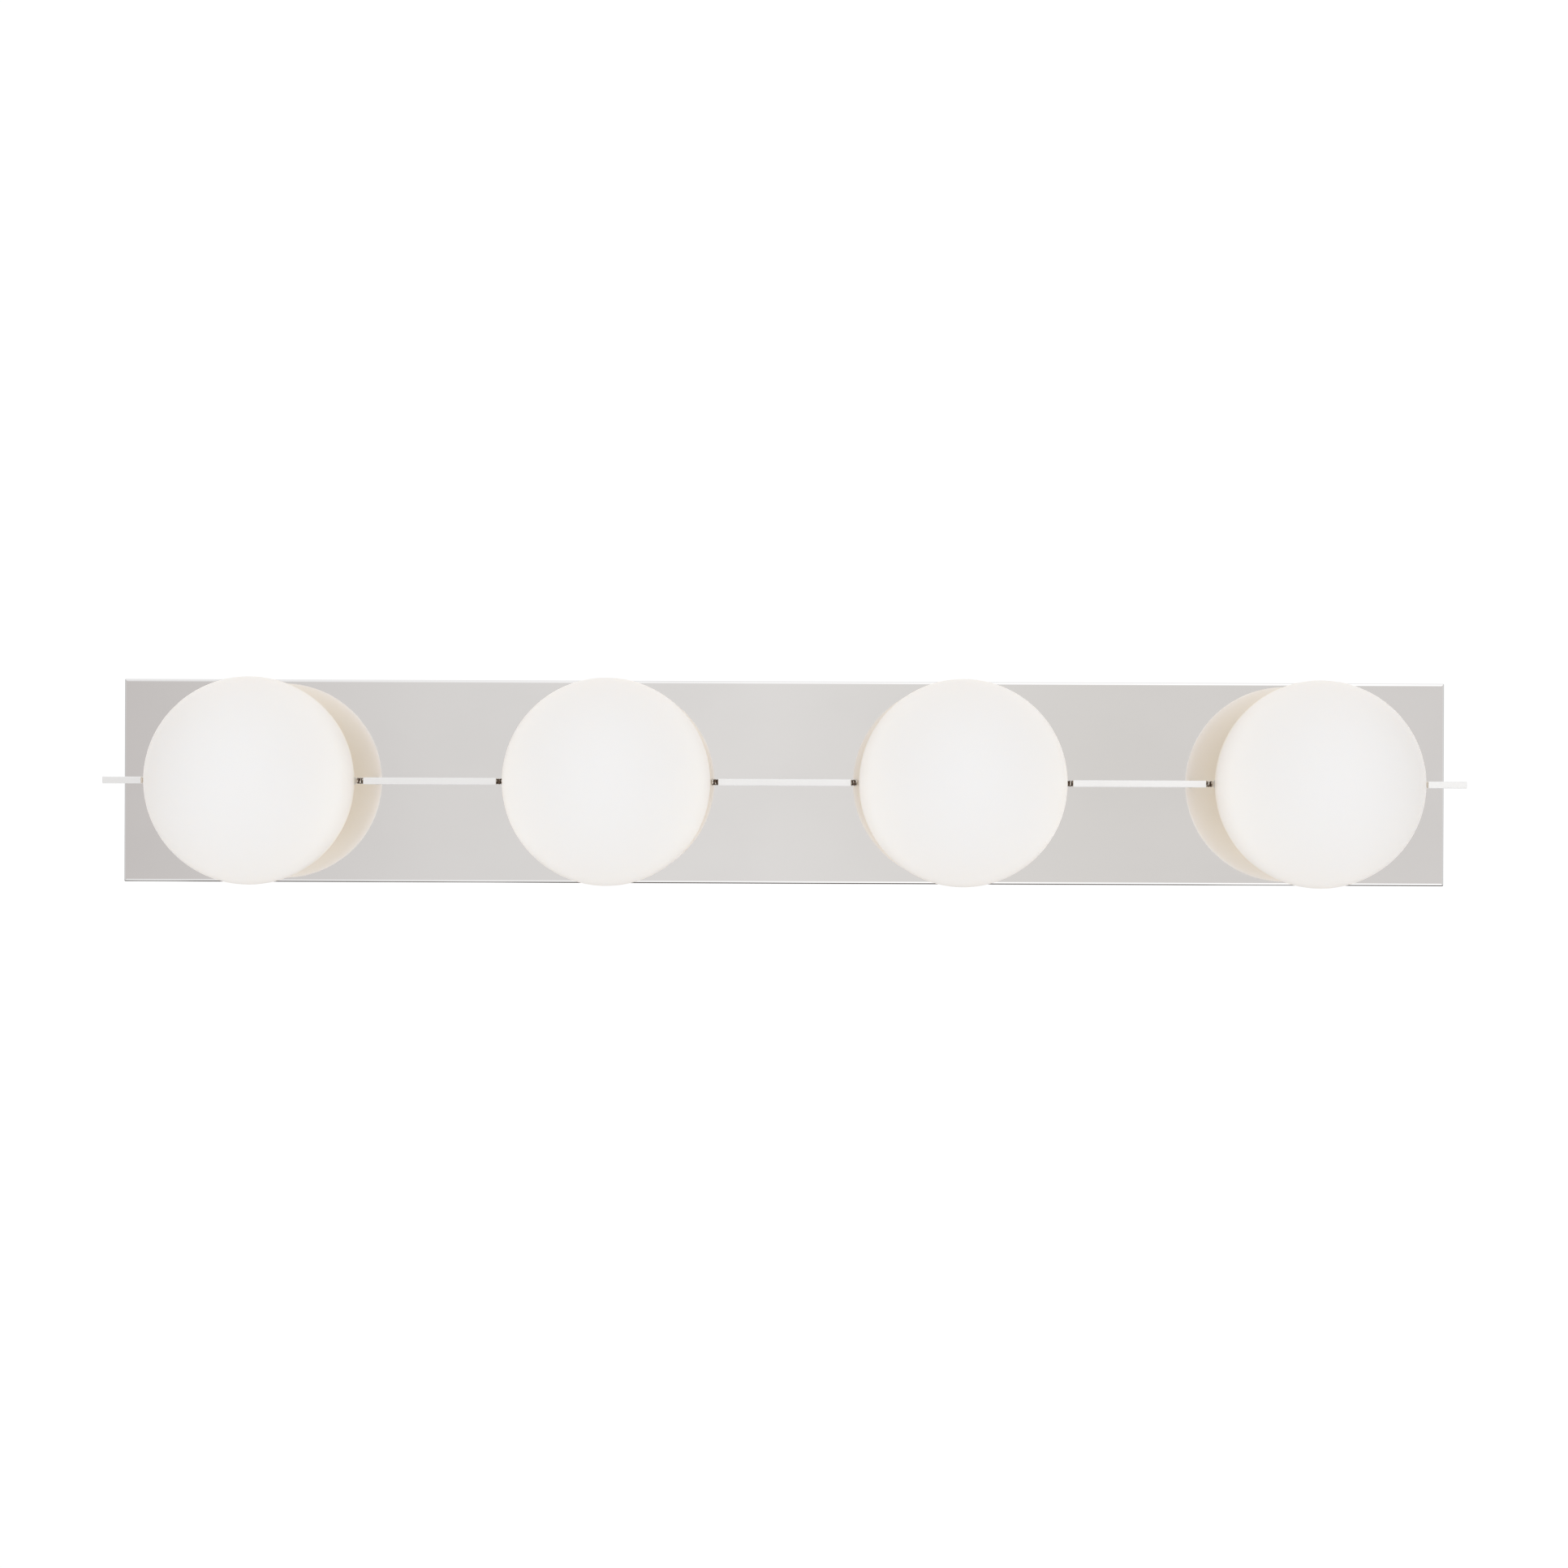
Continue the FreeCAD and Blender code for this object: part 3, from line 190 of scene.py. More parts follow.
pan = folded_pan()
GLOBE_BOXES = [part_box(f"globe_{number}") for number in (1, 2, 3, 4)]
AXES = [(low.x + high.x) / 2 for low, high in GLOBE_BOXES]
bits = [drill_bit((x, FACE_Y - POST_HOLE_REACH, 0), (x, FACE_Y + POST_HOLE_REACH, 0), POST_HOLE)
        for x in AXES]
GRUB_LOW, GRUB_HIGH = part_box("pan_set_screws")
grub_x = GRUB_HIGH.x - (GRUB_HIGH.y - GRUB_LOW.y) / 2
grub_y = (GRUB_LOW.y + GRUB_HIGH.y) / 2
for side in (-1, 1):
    for edge in (-PAN_HIGH.z, PAN_HIGH.z):
        bits.append(drill_bit((side * grub_x, grub_y, edge - GRUB_HOLE_REACH),
                              (side * grub_x, grub_y, edge + GRUB_HOLE_REACH), GRUB_HOLE))
drilled(pan, bits)
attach(pan, "root")
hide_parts("back_pan")


class Value:
    """A shader value that can be added, scaled and raised like a number."""

    def __init__(self, finish, socket):
        self.finish, self.socket = finish, socket

    def maths(self, operation, first, second):
        return self.finish.node("ShaderNodeMath", {"operation": operation}, {0: first, 1: second})

    def __add__(self, other):
        return self.maths("ADD", self, other)

    def __sub__(self, other):
        return self.maths("SUBTRACT", self, other)

    def __rsub__(self, other):
        return self.maths("SUBTRACT", other, self)

    def __mul__(self, other):
        return self.maths("MULTIPLY", self, other)

    def __truediv__(self, other):
        return self.maths("DIVIDE", self, other)

    def __pow__(self, other):
        return self.maths("POWER", self, other)

    def __abs__(self):
        return (self * self) ** 0.5

    __radd__, __rmul__ = __add__, __mul__


class Finish:
    """A material with one main shader; keyword values are its plain sockets."""

    def __init__(self, name, **sockets):
        self.material = bpy.data.materials.new(name)
        self.material.use_nodes = True
        self.tree = self.material.node_tree
        self.tree.nodes.clear()
        self.shader = self.tree.nodes.new("ShaderNodeBsdfPrincipled")
        surface = self.tree.nodes.new("ShaderNodeOutputMaterial").inputs["Surface"]
        self.tree.links.new(self.shader.outputs["BSDF"], surface)
        for socket, value in sockets.items():
            self.put(socket.replace("_", " "), value)

    def fill(self, socket, value):
        if isinstance(value, Value):
            self.tree.links.new(value.socket, socket)
        elif isinstance(value, tuple) and len(value) == 3 and socket.type == "RGBA":
            socket.default_value = (*value, 1)
        else:
            socket.default_value = value

    def put(self, socket, value):
        self.fill(self.shader.inputs[socket], value)

    def node(self, kind, settings, inputs, output=0):
        """Any node: its settings first, then its inputs by name or number; gives one output."""
        made = self.tree.nodes.new(kind)
        for setting, value in settings.items():
            if setting == "stops":
                for number, (place, shade) in enumerate(value):
                    ramp = made.color_ramp.elements
                    stop = ramp[number] if number < len(ramp) else ramp.new(place)
                    stop.position, stop.color = place, (*shade, 1)
            else:
                setattr(made, setting, value)
        for socket, value in inputs.items():
            self.fill(made.inputs[socket], value)
        return Value(self, made.outputs[output])

    def place(self, scale=(1, 1, 1), shift=(0, 0, 0)):
        """The point on the piece, shifted and then scaled, in metres."""
        here = self.node("ShaderNodeTexCoord", {}, {}, "Object")
        moved = self.node("ShaderNodeVectorMath", {"operation": "ADD"}, {0: here, 1: shift})
        return self.node("ShaderNodeVectorMath", {"operation": "MULTIPLY"}, {0: moved, 1: scale})

    def noise(self, scale, detail, stretch=(1, 1, 1)):
        return self.node("ShaderNodeTexNoise", {},
                         {"Vector": self.place(stretch), "Scale": scale, "Detail": detail})

    def cells(self, scale, output):
        return self.node("ShaderNodeTexVoronoi", {}, {"Vector": self.place(), "Scale": scale}, output)

    def ramp(self, value, *stops):
        """Colours along a value, each stop a place and a colour."""
        return self.node("ShaderNodeValToRGB", {"stops": stops}, {"Fac": value}, "Color")

    def band(self, value, low, high, start=0.0, end=1.0, kind="SMOOTHSTEP"):
        """A step from start to end as value goes from low to high, smooth unless kind says linear."""
        return self.node("ShaderNodeMapRange", {"interpolation_type": kind},
                         {"Value": value, "From Min": low, "From Max": high, "To Min": start, "To Max": end})

    def mix(self, amount, first, second):
        """One colour turning into another as amount goes from 0 to 1."""
        return self.node("ShaderNodeMix", {"data_type": "RGBA"}, {0: amount, 6: first, 7: second}, 2)

    def bump(self, height, distance, strength):
        raised = self.node("ShaderNodeBump", {},
                           {"Height": height, "Distance": distance, "Strength": strength})
        self.put("Normal", raised)

    def axis(self, letter, shift=(0, 0, 0)):
        """One coordinate of the point on the piece."""
        return self.node("ShaderNodeSeparateXYZ", {}, {0: self.place(shift=shift)}, letter)


def mirror_nickel():
    """Bright plate: faint long polishing lines, and a very light haze where hands have wiped it.

    Inside the pan the sheet was never polished, so it is greyer and dull there. A thin dark line is painted
    along the bottom fold: a painted reflection of the shade behind the pan.
    """
    finish = Finish("mirror_nickel", Metallic=1.0)
    lines = finish.noise(90, 4, (0.15, 1, 6))
    haze = finish.noise(14, 3, (1, 1, 1.6))
    x, y, z = (finish.axis(letter) for letter in "XYZ")
    shallow, deeper = 0.3 * PAN_SHEET, 0.7 * PAN_SHEET
    deep = finish.band(y, FACE_Y + shallow, FACE_Y + deeper)
    for place, edge in ((x, PAN_HIGH.x), (z, PAN_HIGH.z)):
        deep = deep * finish.band(abs(place), edge - shallow, edge - deeper)
    bright = finish.mix(finish.band(haze, 0.35, 0.75), (0.945, 0.938, 0.936), (0.925, 0.918, 0.916))
    dull = finish.mix(finish.band(finish.noise(30, 4), 0.35, 0.7), (0.56, 0.56, 0.57), (0.46, 0.46, 0.475))
    # Painted reflection: a thin dark line along the bottom fold, of uneven strength, for the shade behind
    # the pan.
    bottom = finish.band(z, FOLD_RADIUS - PAN_HIGH.z, 0.8 * FOLD_RADIUS - PAN_HIGH.z)
    bottom = bottom * finish.band(y, FACE_Y + 1.1 * FOLD_RADIUS, FACE_Y + 0.9 * FOLD_RADIUS)
    uneven = finish.band(finish.noise(8, 2), 0.36, 0.5, 0.7, 1)
    with_painted_bottom_line = finish.mix(bottom * uneven, bright, (0.16, 0.14, 0.13))
    finish.put("Base Color", finish.mix(deep, with_painted_bottom_line, dull))
    polish = 0.028 + 0.02 * finish.band(lines, 0.4, 0.8) + 0.03 * finish.band(haze, 0.5, 0.8)
    finish.put("Roughness", polish + 0.36 * deep)
    finish.bump(lines, 0.002 * MM, 0.25)
    return finish.material


MIRROR = mirror_nickel()
pan.data.materials.append(MIRROR)

# ------------------------------------------------------------------ holders
# An upturned dish spun from thin sheet under each globe, plated like the pan. Its step stands in the
# glass mouth, and the post's shoulder holds its middle down.
GASKET_LOW, GASKET_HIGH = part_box("globe_gaskets")
LEDGE_Y, MOUTH_Y = GASKET_HIGH.y, GASKET_LOW.y
RADIUS = (GLOBE_BOXES[0][1].z - GLOBE_BOXES[0][0].z) / 2
PITCH = AXES[1] - AXES[0]
CENTRE_Y = GLOBE_BOXES[0][0].y + RADIUS
GLASS_WALL = 3 * MM
STEP_GAP = 1 * MM
HOLDER_SHEET = 1.2 * MM
HOLDER_BEND = 0.5 * MM
STEP_RADIUS = math.sqrt((RADIUS - GLASS_WALL) ** 2 - (MOUTH_Y - CENTRE_Y) ** 2) - STEP_GAP


def rounded(outline, radius, arc_points=6, most=0.4):
    """A closed outline with each corner replaced by an arc that touches both of its sides.

    No arc takes more than the share most of either side.
    """
    count = len(outline)
    points = []
    for index in range(count):
        corner = np.array(outline[index])
        before = np.array(outline[index - 1]) - corner
        after = np.array(outline[(index + 1) % count]) - corner
        before_length, after_length = np.linalg.norm(before), np.linalg.norm(after)
        before, after = before / before_length, after / after_length
        half = math.acos(np.clip(before @ after, -1, 1)) / 2
        reach = min(radius / math.tan(half), before_length * most, after_length * most)
        arc = reach * math.tan(half)
        centre = corner + (before + after) / np.linalg.norm(before + after) * arc / math.sin(half)
        start, end = corner + before * reach - centre, corner + after * reach - centre
        sweep = math.atan2(start[0] * end[1] - start[1] * end[0], start @ end)
        for part in np.linspace(0, 1, arc_points):
            c, s = math.cos(sweep * part), math.sin(sweep * part)
            points.append(centre + np.array([c * start[0] - s * start[1], s * start[0] + c * start[1]]))
    return np.array(points)


def lathe(profile, x, segments=96):
    """A closed profile of radius and Y spun once round a line along Y: x + r cos t, y, r sin t."""
    turn = np.linspace(0, 2 * math.pi, segments, endpoint=False)
    radius, y = profile[:, 0][:, None], profile[:, 1][:, None]
    return np.stack([x + radius * np.cos(turn), y + 0 * turn, radius * np.sin(turn)], axis=-1)


for number, x in enumerate(AXES, start=1):
    low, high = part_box(f"holder_{number}")
    rim = (high.x - low.x) / 2
    step_y, step_back = low.y, low.y + HOLDER_SHEET
    ledge_back = LEDGE_Y + HOLDER_SHEET
    inner = STEP_RADIUS - HOLDER_SHEET
    outline = [(rim, FACE_Y), (rim, LEDGE_Y), (STEP_RADIUS, LEDGE_Y), (STEP_RADIUS, step_y),
               (POST_HOLE, step_y), (POST_HOLE, step_back), (inner, step_back), (inner, ledge_back),
               (rim - HOLDER_SHEET, ledge_back), (rim - HOLDER_SHEET, FACE_Y)]
    dish = skin([lathe(rounded(outline, HOLDER_BEND), x)], f"holder_dish_{number}", ends="joined")
    dish.data.materials.append(MIRROR)
    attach(dish, "root")
    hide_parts(f"holder_{number}")

# ------------------------------------------------------------------ globes
# Blown opal glass, etched to a satin outside: nearly a whole sphere, with a ground mouth behind and a
# drilled hole in each side for the rod.
BAR_LOW, BAR_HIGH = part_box("bar_span_2")
BAR_Y = (BAR_LOW.y + BAR_HIGH.y) / 2
BUSH_LOW, BUSH_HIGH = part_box("rod_bushes")
FIT = 0.05 * MM
SIDE_HOLE = (BUSH_HIGH.z - BUSH_LOW.z) / 2 + FIT
# Glow of the globes: partly the lamp lit low. The rim and back colours are painted warm shade and
# reflection, and the colour between globes is painted light from the neighbour.
GLOW_FRONT = (0.182, 0.178, 0.172)
GLOW_ROUND = (0.188, 0.168, 0.150)
PAINTED_NEIGHBOUR_GLOW = (0.285, 0.275, 0.260)
PAINTED_WARM_RIM_GLOW = (0.185, 0.152, 0.122)
PAINTED_WARM_BACK_GLOW = (0.250, 0.205, 0.130)


def from_nearest_axis(finish):
    """Distance along X from the nearest globe's axis: the row folded back at each half pitch."""
    from_first = finish.axis("X") - AXES[0]
    return finish.node("ShaderNodeMath", {"operation": "PINGPONG"}, {0: from_first, 1: PITCH / 2})


def opal_glass():
    """White through its body, which holds some light and glows a little as the lamp lit low. Colour and glow
    both turn darker and warmer towards the mouth: painted shade and painted warm reflection.

    Where two globes face each other the glow is raised: painted light from the neighbouring globe.
    """
    finish = Finish("opal_glass", Specular_IOR_Level=0.32, IOR=1.5, Subsurface_Weight=0.25,
                    Subsurface_Radius=(0.012, 0.010, 0.008), Subsurface_Scale=1.0)
    depth = finish.axis("Y", (0, -CENTRE_Y, 0)) / RADIUS
    cloud = finish.noise(55, 4)
    inward = 0.5 + 0.5 * depth + 0.02 * (cloud - 0.5)
    # Painted shade and painted warm reflection: the white glass is coloured darker and warmer from the front
    # pole to the mouth.
    finish.put("Base Color", finish.ramp(inward, (0.0, (0.895, 0.895, 0.905)), (0.42, (0.88, 0.87, 0.855)),
                                         (0.52, (0.83, 0.795, 0.75)), (0.64, (0.80, 0.755, 0.69)),
                                         (1.0, (0.76, 0.705, 0.625))))
    # Painted light: the sides of a globe that face a neighbour glow brighter, as if lit by it.
    not_outermost = finish.band(abs(finish.axis("X")), AXES[-1] + RADIUS / 2, AXES[-1])
    painted_neighbour_share = (from_nearest_axis(finish) / RADIUS) ** 2 * not_outermost
    alone, between = (finish.ramp(inward, (0.0, GLOW_FRONT), (0.3, glow), (0.52, PAINTED_WARM_RIM_GLOW), (1.0, PAINTED_WARM_BACK_GLOW))
                      for glow in (GLOW_ROUND, PAINTED_NEIGHBOUR_GLOW))
    finish.put("Emission Color", finish.mix(painted_neighbour_share, alone, between))
    finish.put("Emission Strength", 1.0)
    finish.put("Roughness", 0.42 + 0.1 * (finish.noise(260, 3) - 0.5))
    finish.bump(finish.noise(1400, 2), 0.01 * MM, 0.2)
    return finish.material


def blown_globe(x, name):
    """Outer and inner spheres about one centre, joined by a ground rim at the mouth."""
    mouth = MOUTH_Y - CENTRE_Y
    inside = RADIUS - GLASS_WALL
    by_the_pole = -math.pi / 2 + 0.01
    outer = np.linspace(by_the_pole, math.asin(mouth / RADIUS), 110)
    inner = np.linspace(math.asin(mouth / inside), by_the_pole, 60)
    profile = np.concatenate([RADIUS * np.stack([np.cos(outer), np.sin(outer)], axis=-1),
                              inside * np.stack([np.cos(inner), np.sin(inner)], axis=-1)])
    return skin([lathe(profile + [0, CENTRE_Y], x, 192)], name, ends="tip")


OPAL = opal_glass()
for number, x in enumerate(AXES, start=1):
    globe = blown_globe(x, f"glass_globe_{number}")
    drilled(globe, [drill_bit((x - 2 * RADIUS, BAR_Y, 0), (x + 2 * RADIUS, BAR_Y, 0), SIDE_HOLE)])
    globe.data.materials.append(OPAL)
    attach(globe, "root")
    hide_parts(f"globe_{number}")

# ------------------------------------------------------------------ the bar
# Square drawn bar, plated and left satin, with its four edges eased. Each end that meets a globe is
# bored for the rod, and a grub screw in the face towards the wall locks it.
ROD_LOW, ROD_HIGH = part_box("cross_rod_1")
ROD_RADIUS = (ROD_HIGH.z - ROD_LOW.z) / 2
BORE_RADIUS = ROD_RADIUS + FIT
BORE_DEPTH = 10 * MM
EDGE = 0.4 * MM
END_EDGE = 0.15 * MM
SCREW_INSET = 4.5 * MM
SCREW_RADIUS = 1.05 * MM


def drawn_bar(name, low, high, bored_left, bored_right):
    """A rounded square carried along X, closing to a circle where it turns in to a bore.

    Each row is a place along X, a size for the square and how far the loop has become a circle.
    """
    half = (high.z - low.z) / 2
    square = rounded_rectangle(half, half, EDGE, 7)
    angle = np.arctan2(square[:, 1], square[:, 0])
    circle = BORE_RADIUS * np.stack([np.cos(angle), np.sin(angle)], axis=-1)
    eased = (half - END_EDGE) / half
    rows = [(low.x, eased, 0), (low.x + END_EDGE, 1, 0), (low.x + 2 * END_EDGE, 1, 0)]
    rows += [(high.x - 2 * END_EDGE, 1, 0), (high.x - END_EDGE, 1, 0), (high.x, eased, 0)]
    if bored_left:
        rows = [(low.x + BORE_DEPTH, 1, 1), (low.x, 1, 1)] + rows
    if bored_right:
        rows += [(high.x, 1, 1), (high.x - BORE_DEPTH, 1, 1)]
    grid = []
    for x, grow, to_circle in rows:
        loop = square * grow * (1 - to_circle) + circle * to_circle
        grid.append(np.stack([np.full(len(loop), x), BAR_Y + loop[:, 0], loop[:, 1]], axis=-1))
    piece = skin([np.stack(grid)], name, soft_angle=30)
    ends = [low.x + SCREW_INSET] * bored_left + [high.x - SCREW_INSET] * bored_right
    drilled(piece, [drill_bit((x, BAR_Y + ROD_RADIUS / 2, 0), (x, BAR_Y + 2 * half, 0), SCREW_RADIUS, 24)
                    for x in ends], 30)
    return piece


def bright_nickel():
    """Plate over drawn bar: fine lines along its length and a soft, even shine."""
    finish = Finish("bright_nickel", Metallic=1.0)
    drawn = finish.noise(900, 4, (0.02, 1, 1))
    patches = finish.noise(40, 3, (0.4, 1, 1))
    finish.put("Base Color", finish.mix(finish.band(patches, 0.35, 0.7), (0.965, 0.96, 0.955),
                                        (0.945, 0.938, 0.93)))
    finish.put("Roughness", 0.32 + 0.06 * (drawn - 0.5))
    finish.bump(drawn, 0.003 * MM, 0.15)
    return finish.material


BAR_FINISH = bright_nickel()
BARS = (("bar_stub_left", 0, 1), ("bar_span_1", 1, 1), ("bar_span_2", 1, 1), ("bar_span_3", 1, 1),
        ("bar_stub_right", 1, 0))
for node, bored_left, bored_right in BARS:
    length = drawn_bar(f"{node}_drawn", *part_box(node), bored_left, bored_right)
    length.data.materials.append(BAR_FINISH)
    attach(length, "root")
    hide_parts(node)

# ------------------------------------------------------------------ ferrules
# A short sleeve on the rod between each bar end and the glass, turned with three grooves, knurled
# between them and left dark.
FERRULE_LOW, FERRULE_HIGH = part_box("bar_ferrules")
FERRULE_RADIUS = (FERRULE_HIGH.z - FERRULE_LOW.z) / 2
GROOVES = 3
GROOVE_PITCH = 1.65 * MM
GROOVE_DEPTH = 0.32 * MM
GROOVE_NARROWING = 5
KNURLS = 22
KNURL_DEPTH = 0.05 * MM
KNURL_TURN, KNURL_LEAN = 2.2 * GROOVE_PITCH, 0.15
SLEEVE_EDGE, SLEEVE_EDGE_FALL = 0.18 * MM, 40
bush_reach = BUSH_HIGH.x - AXES[-1]


def ferrule(start, end, segments=88, rows=72):
    """Radius along X from start to end: rounded beads with a groove at each pitch, cut by a fine knurl.

    The groove is a cosine raised to a power, so that it is narrow, and the knurl is two crossed waves.
    Each end is eased by a depth that falls off exponentially along the sleeve.
    """
    along = np.linspace(0, 1, rows)[:, None]
    turn = np.linspace(0, 2 * math.pi, segments, endpoint=False)[None, :]
    x = start + (end - start) * along
    from_middle = x - (start + end) / 2
    groove = (0.5 + 0.5 * np.cos(2 * math.pi * from_middle / GROOVE_PITCH)) ** GROOVE_NARROWING
    groove = np.where(np.abs(from_middle) < GROOVES / 2 * GROOVE_PITCH, groove, 0)
    twist = KNURL_LEAN * (2 * math.pi * from_middle / KNURL_TURN)
    knurl = (np.cos(KNURLS * (turn + twist)) + np.cos(KNURLS * (turn - twist))) / 4 - 0.5
    eased = SLEEVE_EDGE * np.exp(-np.minimum(along, 1 - along) * SLEEVE_EDGE_FALL)
    radius = FERRULE_RADIUS - GROOVE_DEPTH * groove + KNURL_DEPTH * knurl * (1 - groove) - eased
    outside = np.stack([x + 0 * turn, BAR_Y + radius * np.cos(turn), radius * np.sin(turn)], axis=-1)
    bore = [np.stack([np.full(segments, place), BAR_Y + BORE_RADIUS * np.cos(turn[0]),
                      BORE_RADIUS * np.sin(turn[0])], axis=-1) for place in (end, start)]
    return np.concatenate([outside, np.stack(bore)])


def dark_ferrule():
    """Old bronze colour over nickel, with bright flecks on the beads as painted highlights, and almost black
    in the grooves.

    The bead next to each glass is paler, and so are both sleeves at the ends of the row.
    """
    finish = Finish("dark_ferrule", Metallic=1.0)
    out_y = finish.axis("Y", (0, -BAR_Y, 0))
    out_z = finish.axis("Z")
    reach = (out_y * out_y + out_z * out_z) ** 0.5 / FERRULE_RADIUS
    next_to_glass = finish.band(from_nearest_axis(finish), bush_reach + GROOVE_PITCH,
                                bush_reach + 0.8 * GROOVE_PITCH)
    row_end = finish.band(abs(finish.axis("X")), AXES[-1], AXES[-1] + RADIUS)
    pale = 1 - (1 - 0.95 * next_to_glass) * (1 - row_end)
    mottle = finish.noise(1800, 4)
    crest = finish.band(reach + 0.05 * (mottle - 0.5), 0.90, 1.0)
    shade = finish.mix(crest, (0.030, 0.018, 0.012), (0.16, 0.115, 0.085))
    # Painted highlights: bright flecks on the crests stand in for glints of the room.
    painted_glints = finish.band(finish.noise(700, 2), 0.53, 0.60) * crest
    with_painted_glints = finish.mix(painted_glints, shade, (0.80, 0.74, 0.67))
    finish.put("Base Color", finish.mix(pale * (0.7 + 0.3 * crest), with_painted_glints, (0.88, 0.81, 0.72)))
    finish.put("Roughness", 0.30 + 0.2 * mottle)
    return finish.material


ends_of_bars = sorted(value for node, *_ in BARS for value in (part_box(node)[0].x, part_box(node)[1].x))
sleeves = []
for x in AXES:
    for side in (-1, 1):
        glass_end = x + side * bush_reach
        bar_end = min(ends_of_bars, key=lambda place: abs(place - glass_end))
        sleeves.append(ferrule(min(glass_end, bar_end), max(glass_end, bar_end)))
ferrules = skin(sleeves, "ferrule_sleeves", ends="joined")
ferrules.data.materials.append(dark_ferrule())
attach(ferrules, "root")
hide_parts("bar_ferrules")


# ------------------------------------------------------------------ rings and bushes
# Pressed silicone. A ring lies between each glass mouth and its holder, and a bush fills each side
# hole of a glass round the rod.
def wear(node_start, material):
    """Gives one finish to every carried-over node whose name begins so."""
    for name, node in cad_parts.items():
        if name.startswith(node_start) and not node.hide_render:
            node.data.materials.clear()
            node.data.materials.append(material)


def moulded(name, colour, darker, roughness):
    """A moulded or extruded skin: one colour with soft mottling and a fine pebble."""
    finish = Finish(name)
    mottle = finish.noise(60, 3)
    finish.put("Base Color", finish.mix(finish.band(mottle, 0.3, 0.75), colour, darker))
    finish.put("Roughness", roughness + 0.12 * (finish.noise(225, 3) - 0.5))
    finish.bump(finish.noise(900, 2), 0.02 * MM, 0.3)
    return finish.material


SILICONE = moulded("silicone", (0.80, 0.80, 0.78), (0.72, 0.71, 0.69), 0.55)
wear("globe_gaskets", SILICONE)
wear("rod_bushes", SILICONE)


# ------------------------------------------------------------------ posts, rods and light engines
# Turned aluminium posts and heat sinks, a white metal-core board with yellow LED packages, and the
# bright zinc hardware that holds them together.
def turned_metal(name, colour, darker, roughness, lines=(1, 40, 1)):
    """Bare or zinc-plated metal: fine tool lines and a faint change of shade."""
    finish = Finish(name, Metallic=1.0)
    tool = finish.noise(120, 4, lines)
    shade = finish.noise(35, 3)
    finish.put("Base Color", finish.mix(finish.band(shade, 0.3, 0.75), colour, darker))
    finish.put("Roughness", roughness + 0.14 * (tool - 0.5))
    finish.bump(tool, 0.01 * MM, 0.35)
    return finish.material


ALUMINIUM = turned_metal("raw_aluminium", (0.80, 0.80, 0.81), (0.70, 0.70, 0.715), 0.32)
ZINC = turned_metal("zinc_steel", (0.72, 0.73, 0.74), (0.60, 0.62, 0.65), 0.24, (1, 1, 1))
wear("post_", ALUMINIUM)
wear("heat_sink", ALUMINIUM)
for hardware in ("post_nuts", "star_washers", "weld_nuts", "pan_set_screws", "cross_rod",
                 "bar_set_screws", "driver_screws"):
    wear(hardware, ZINC)
wear("led_board_", moulded("board_white", (0.86, 0.86, 0.84), (0.80, 0.80, 0.78), 0.38))
wear("led_board_screws", ZINC)
wear("led_packages", moulded("led_yellow", (0.93, 0.74, 0.20), (0.86, 0.64, 0.15), 0.2))
NYLON = moulded("white_nylon", (0.84, 0.84, 0.82), (0.77, 0.77, 0.74), 0.45)
wear("board_connectors", NYLON)
wear("lead_clips", NYLON)


# ------------------------------------------------------------------ wall bracket
# Pressed from hot-dip galvanised sheet, with its ears folded forward and its holes punched. It screws to
# the box in the wall, and the pan goes over its ears.
def galvanised_steel():
    """Zinc spangle: flat crystals a few millimetres wide, each a slightly different grey."""
    finish = Finish("galvanised_steel", Metallic=1.0)
    crystals = 150
    tone = finish.node("ShaderNodeSeparateColor", {}, {0: finish.cells(crystals, "Color")}, 0)
    edge = finish.cells(crystals, "Distance")
    finish.put("Base Color", finish.ramp(tone, (0.0, (0.50, 0.52, 0.54)), (0.5, (0.60, 0.62, 0.64)),
                                         (1.0, (0.70, 0.715, 0.73))))
    finish.put("Roughness", 0.34 + 0.22 * tone + 0.05 * edge)
    finish.bump(tone + 0.3 * finish.noise(500, 3), 0.01 * MM, 0.4)
    return finish.material


wear("wall_bracket", galvanised_steel())
wear("ground_screw", turned_metal("green_screw", (0.10, 0.40, 0.16), (0.07, 0.30, 0.12), 0.3, (1, 1, 1)))

# ------------------------------------------------------------------ driver
# A bought-in supply, screwed to the bracket: a board with a taped transformer and a capacitor, in a pale
# grey plastic tray with a flat lid.
DRIVER_GREY = moulded("driver_plastic", (0.62, 0.62, 0.61), (0.55, 0.55, 0.54), 0.5)
wear("driver_tray", DRIVER_GREY)
wear("driver_lid", DRIVER_GREY)
wear("driver_board", moulded("board_green", (0.03, 0.16, 0.06), (0.02, 0.11, 0.04), 0.3))
wear("driver_transformer", moulded("coil_tape", (0.78, 0.58, 0.10), (0.66, 0.47, 0.07), 0.4))
wear("driver_capacitor", moulded("capacitor_sleeve", (0.02, 0.02, 0.025), (0.035, 0.035, 0.04), 0.3))

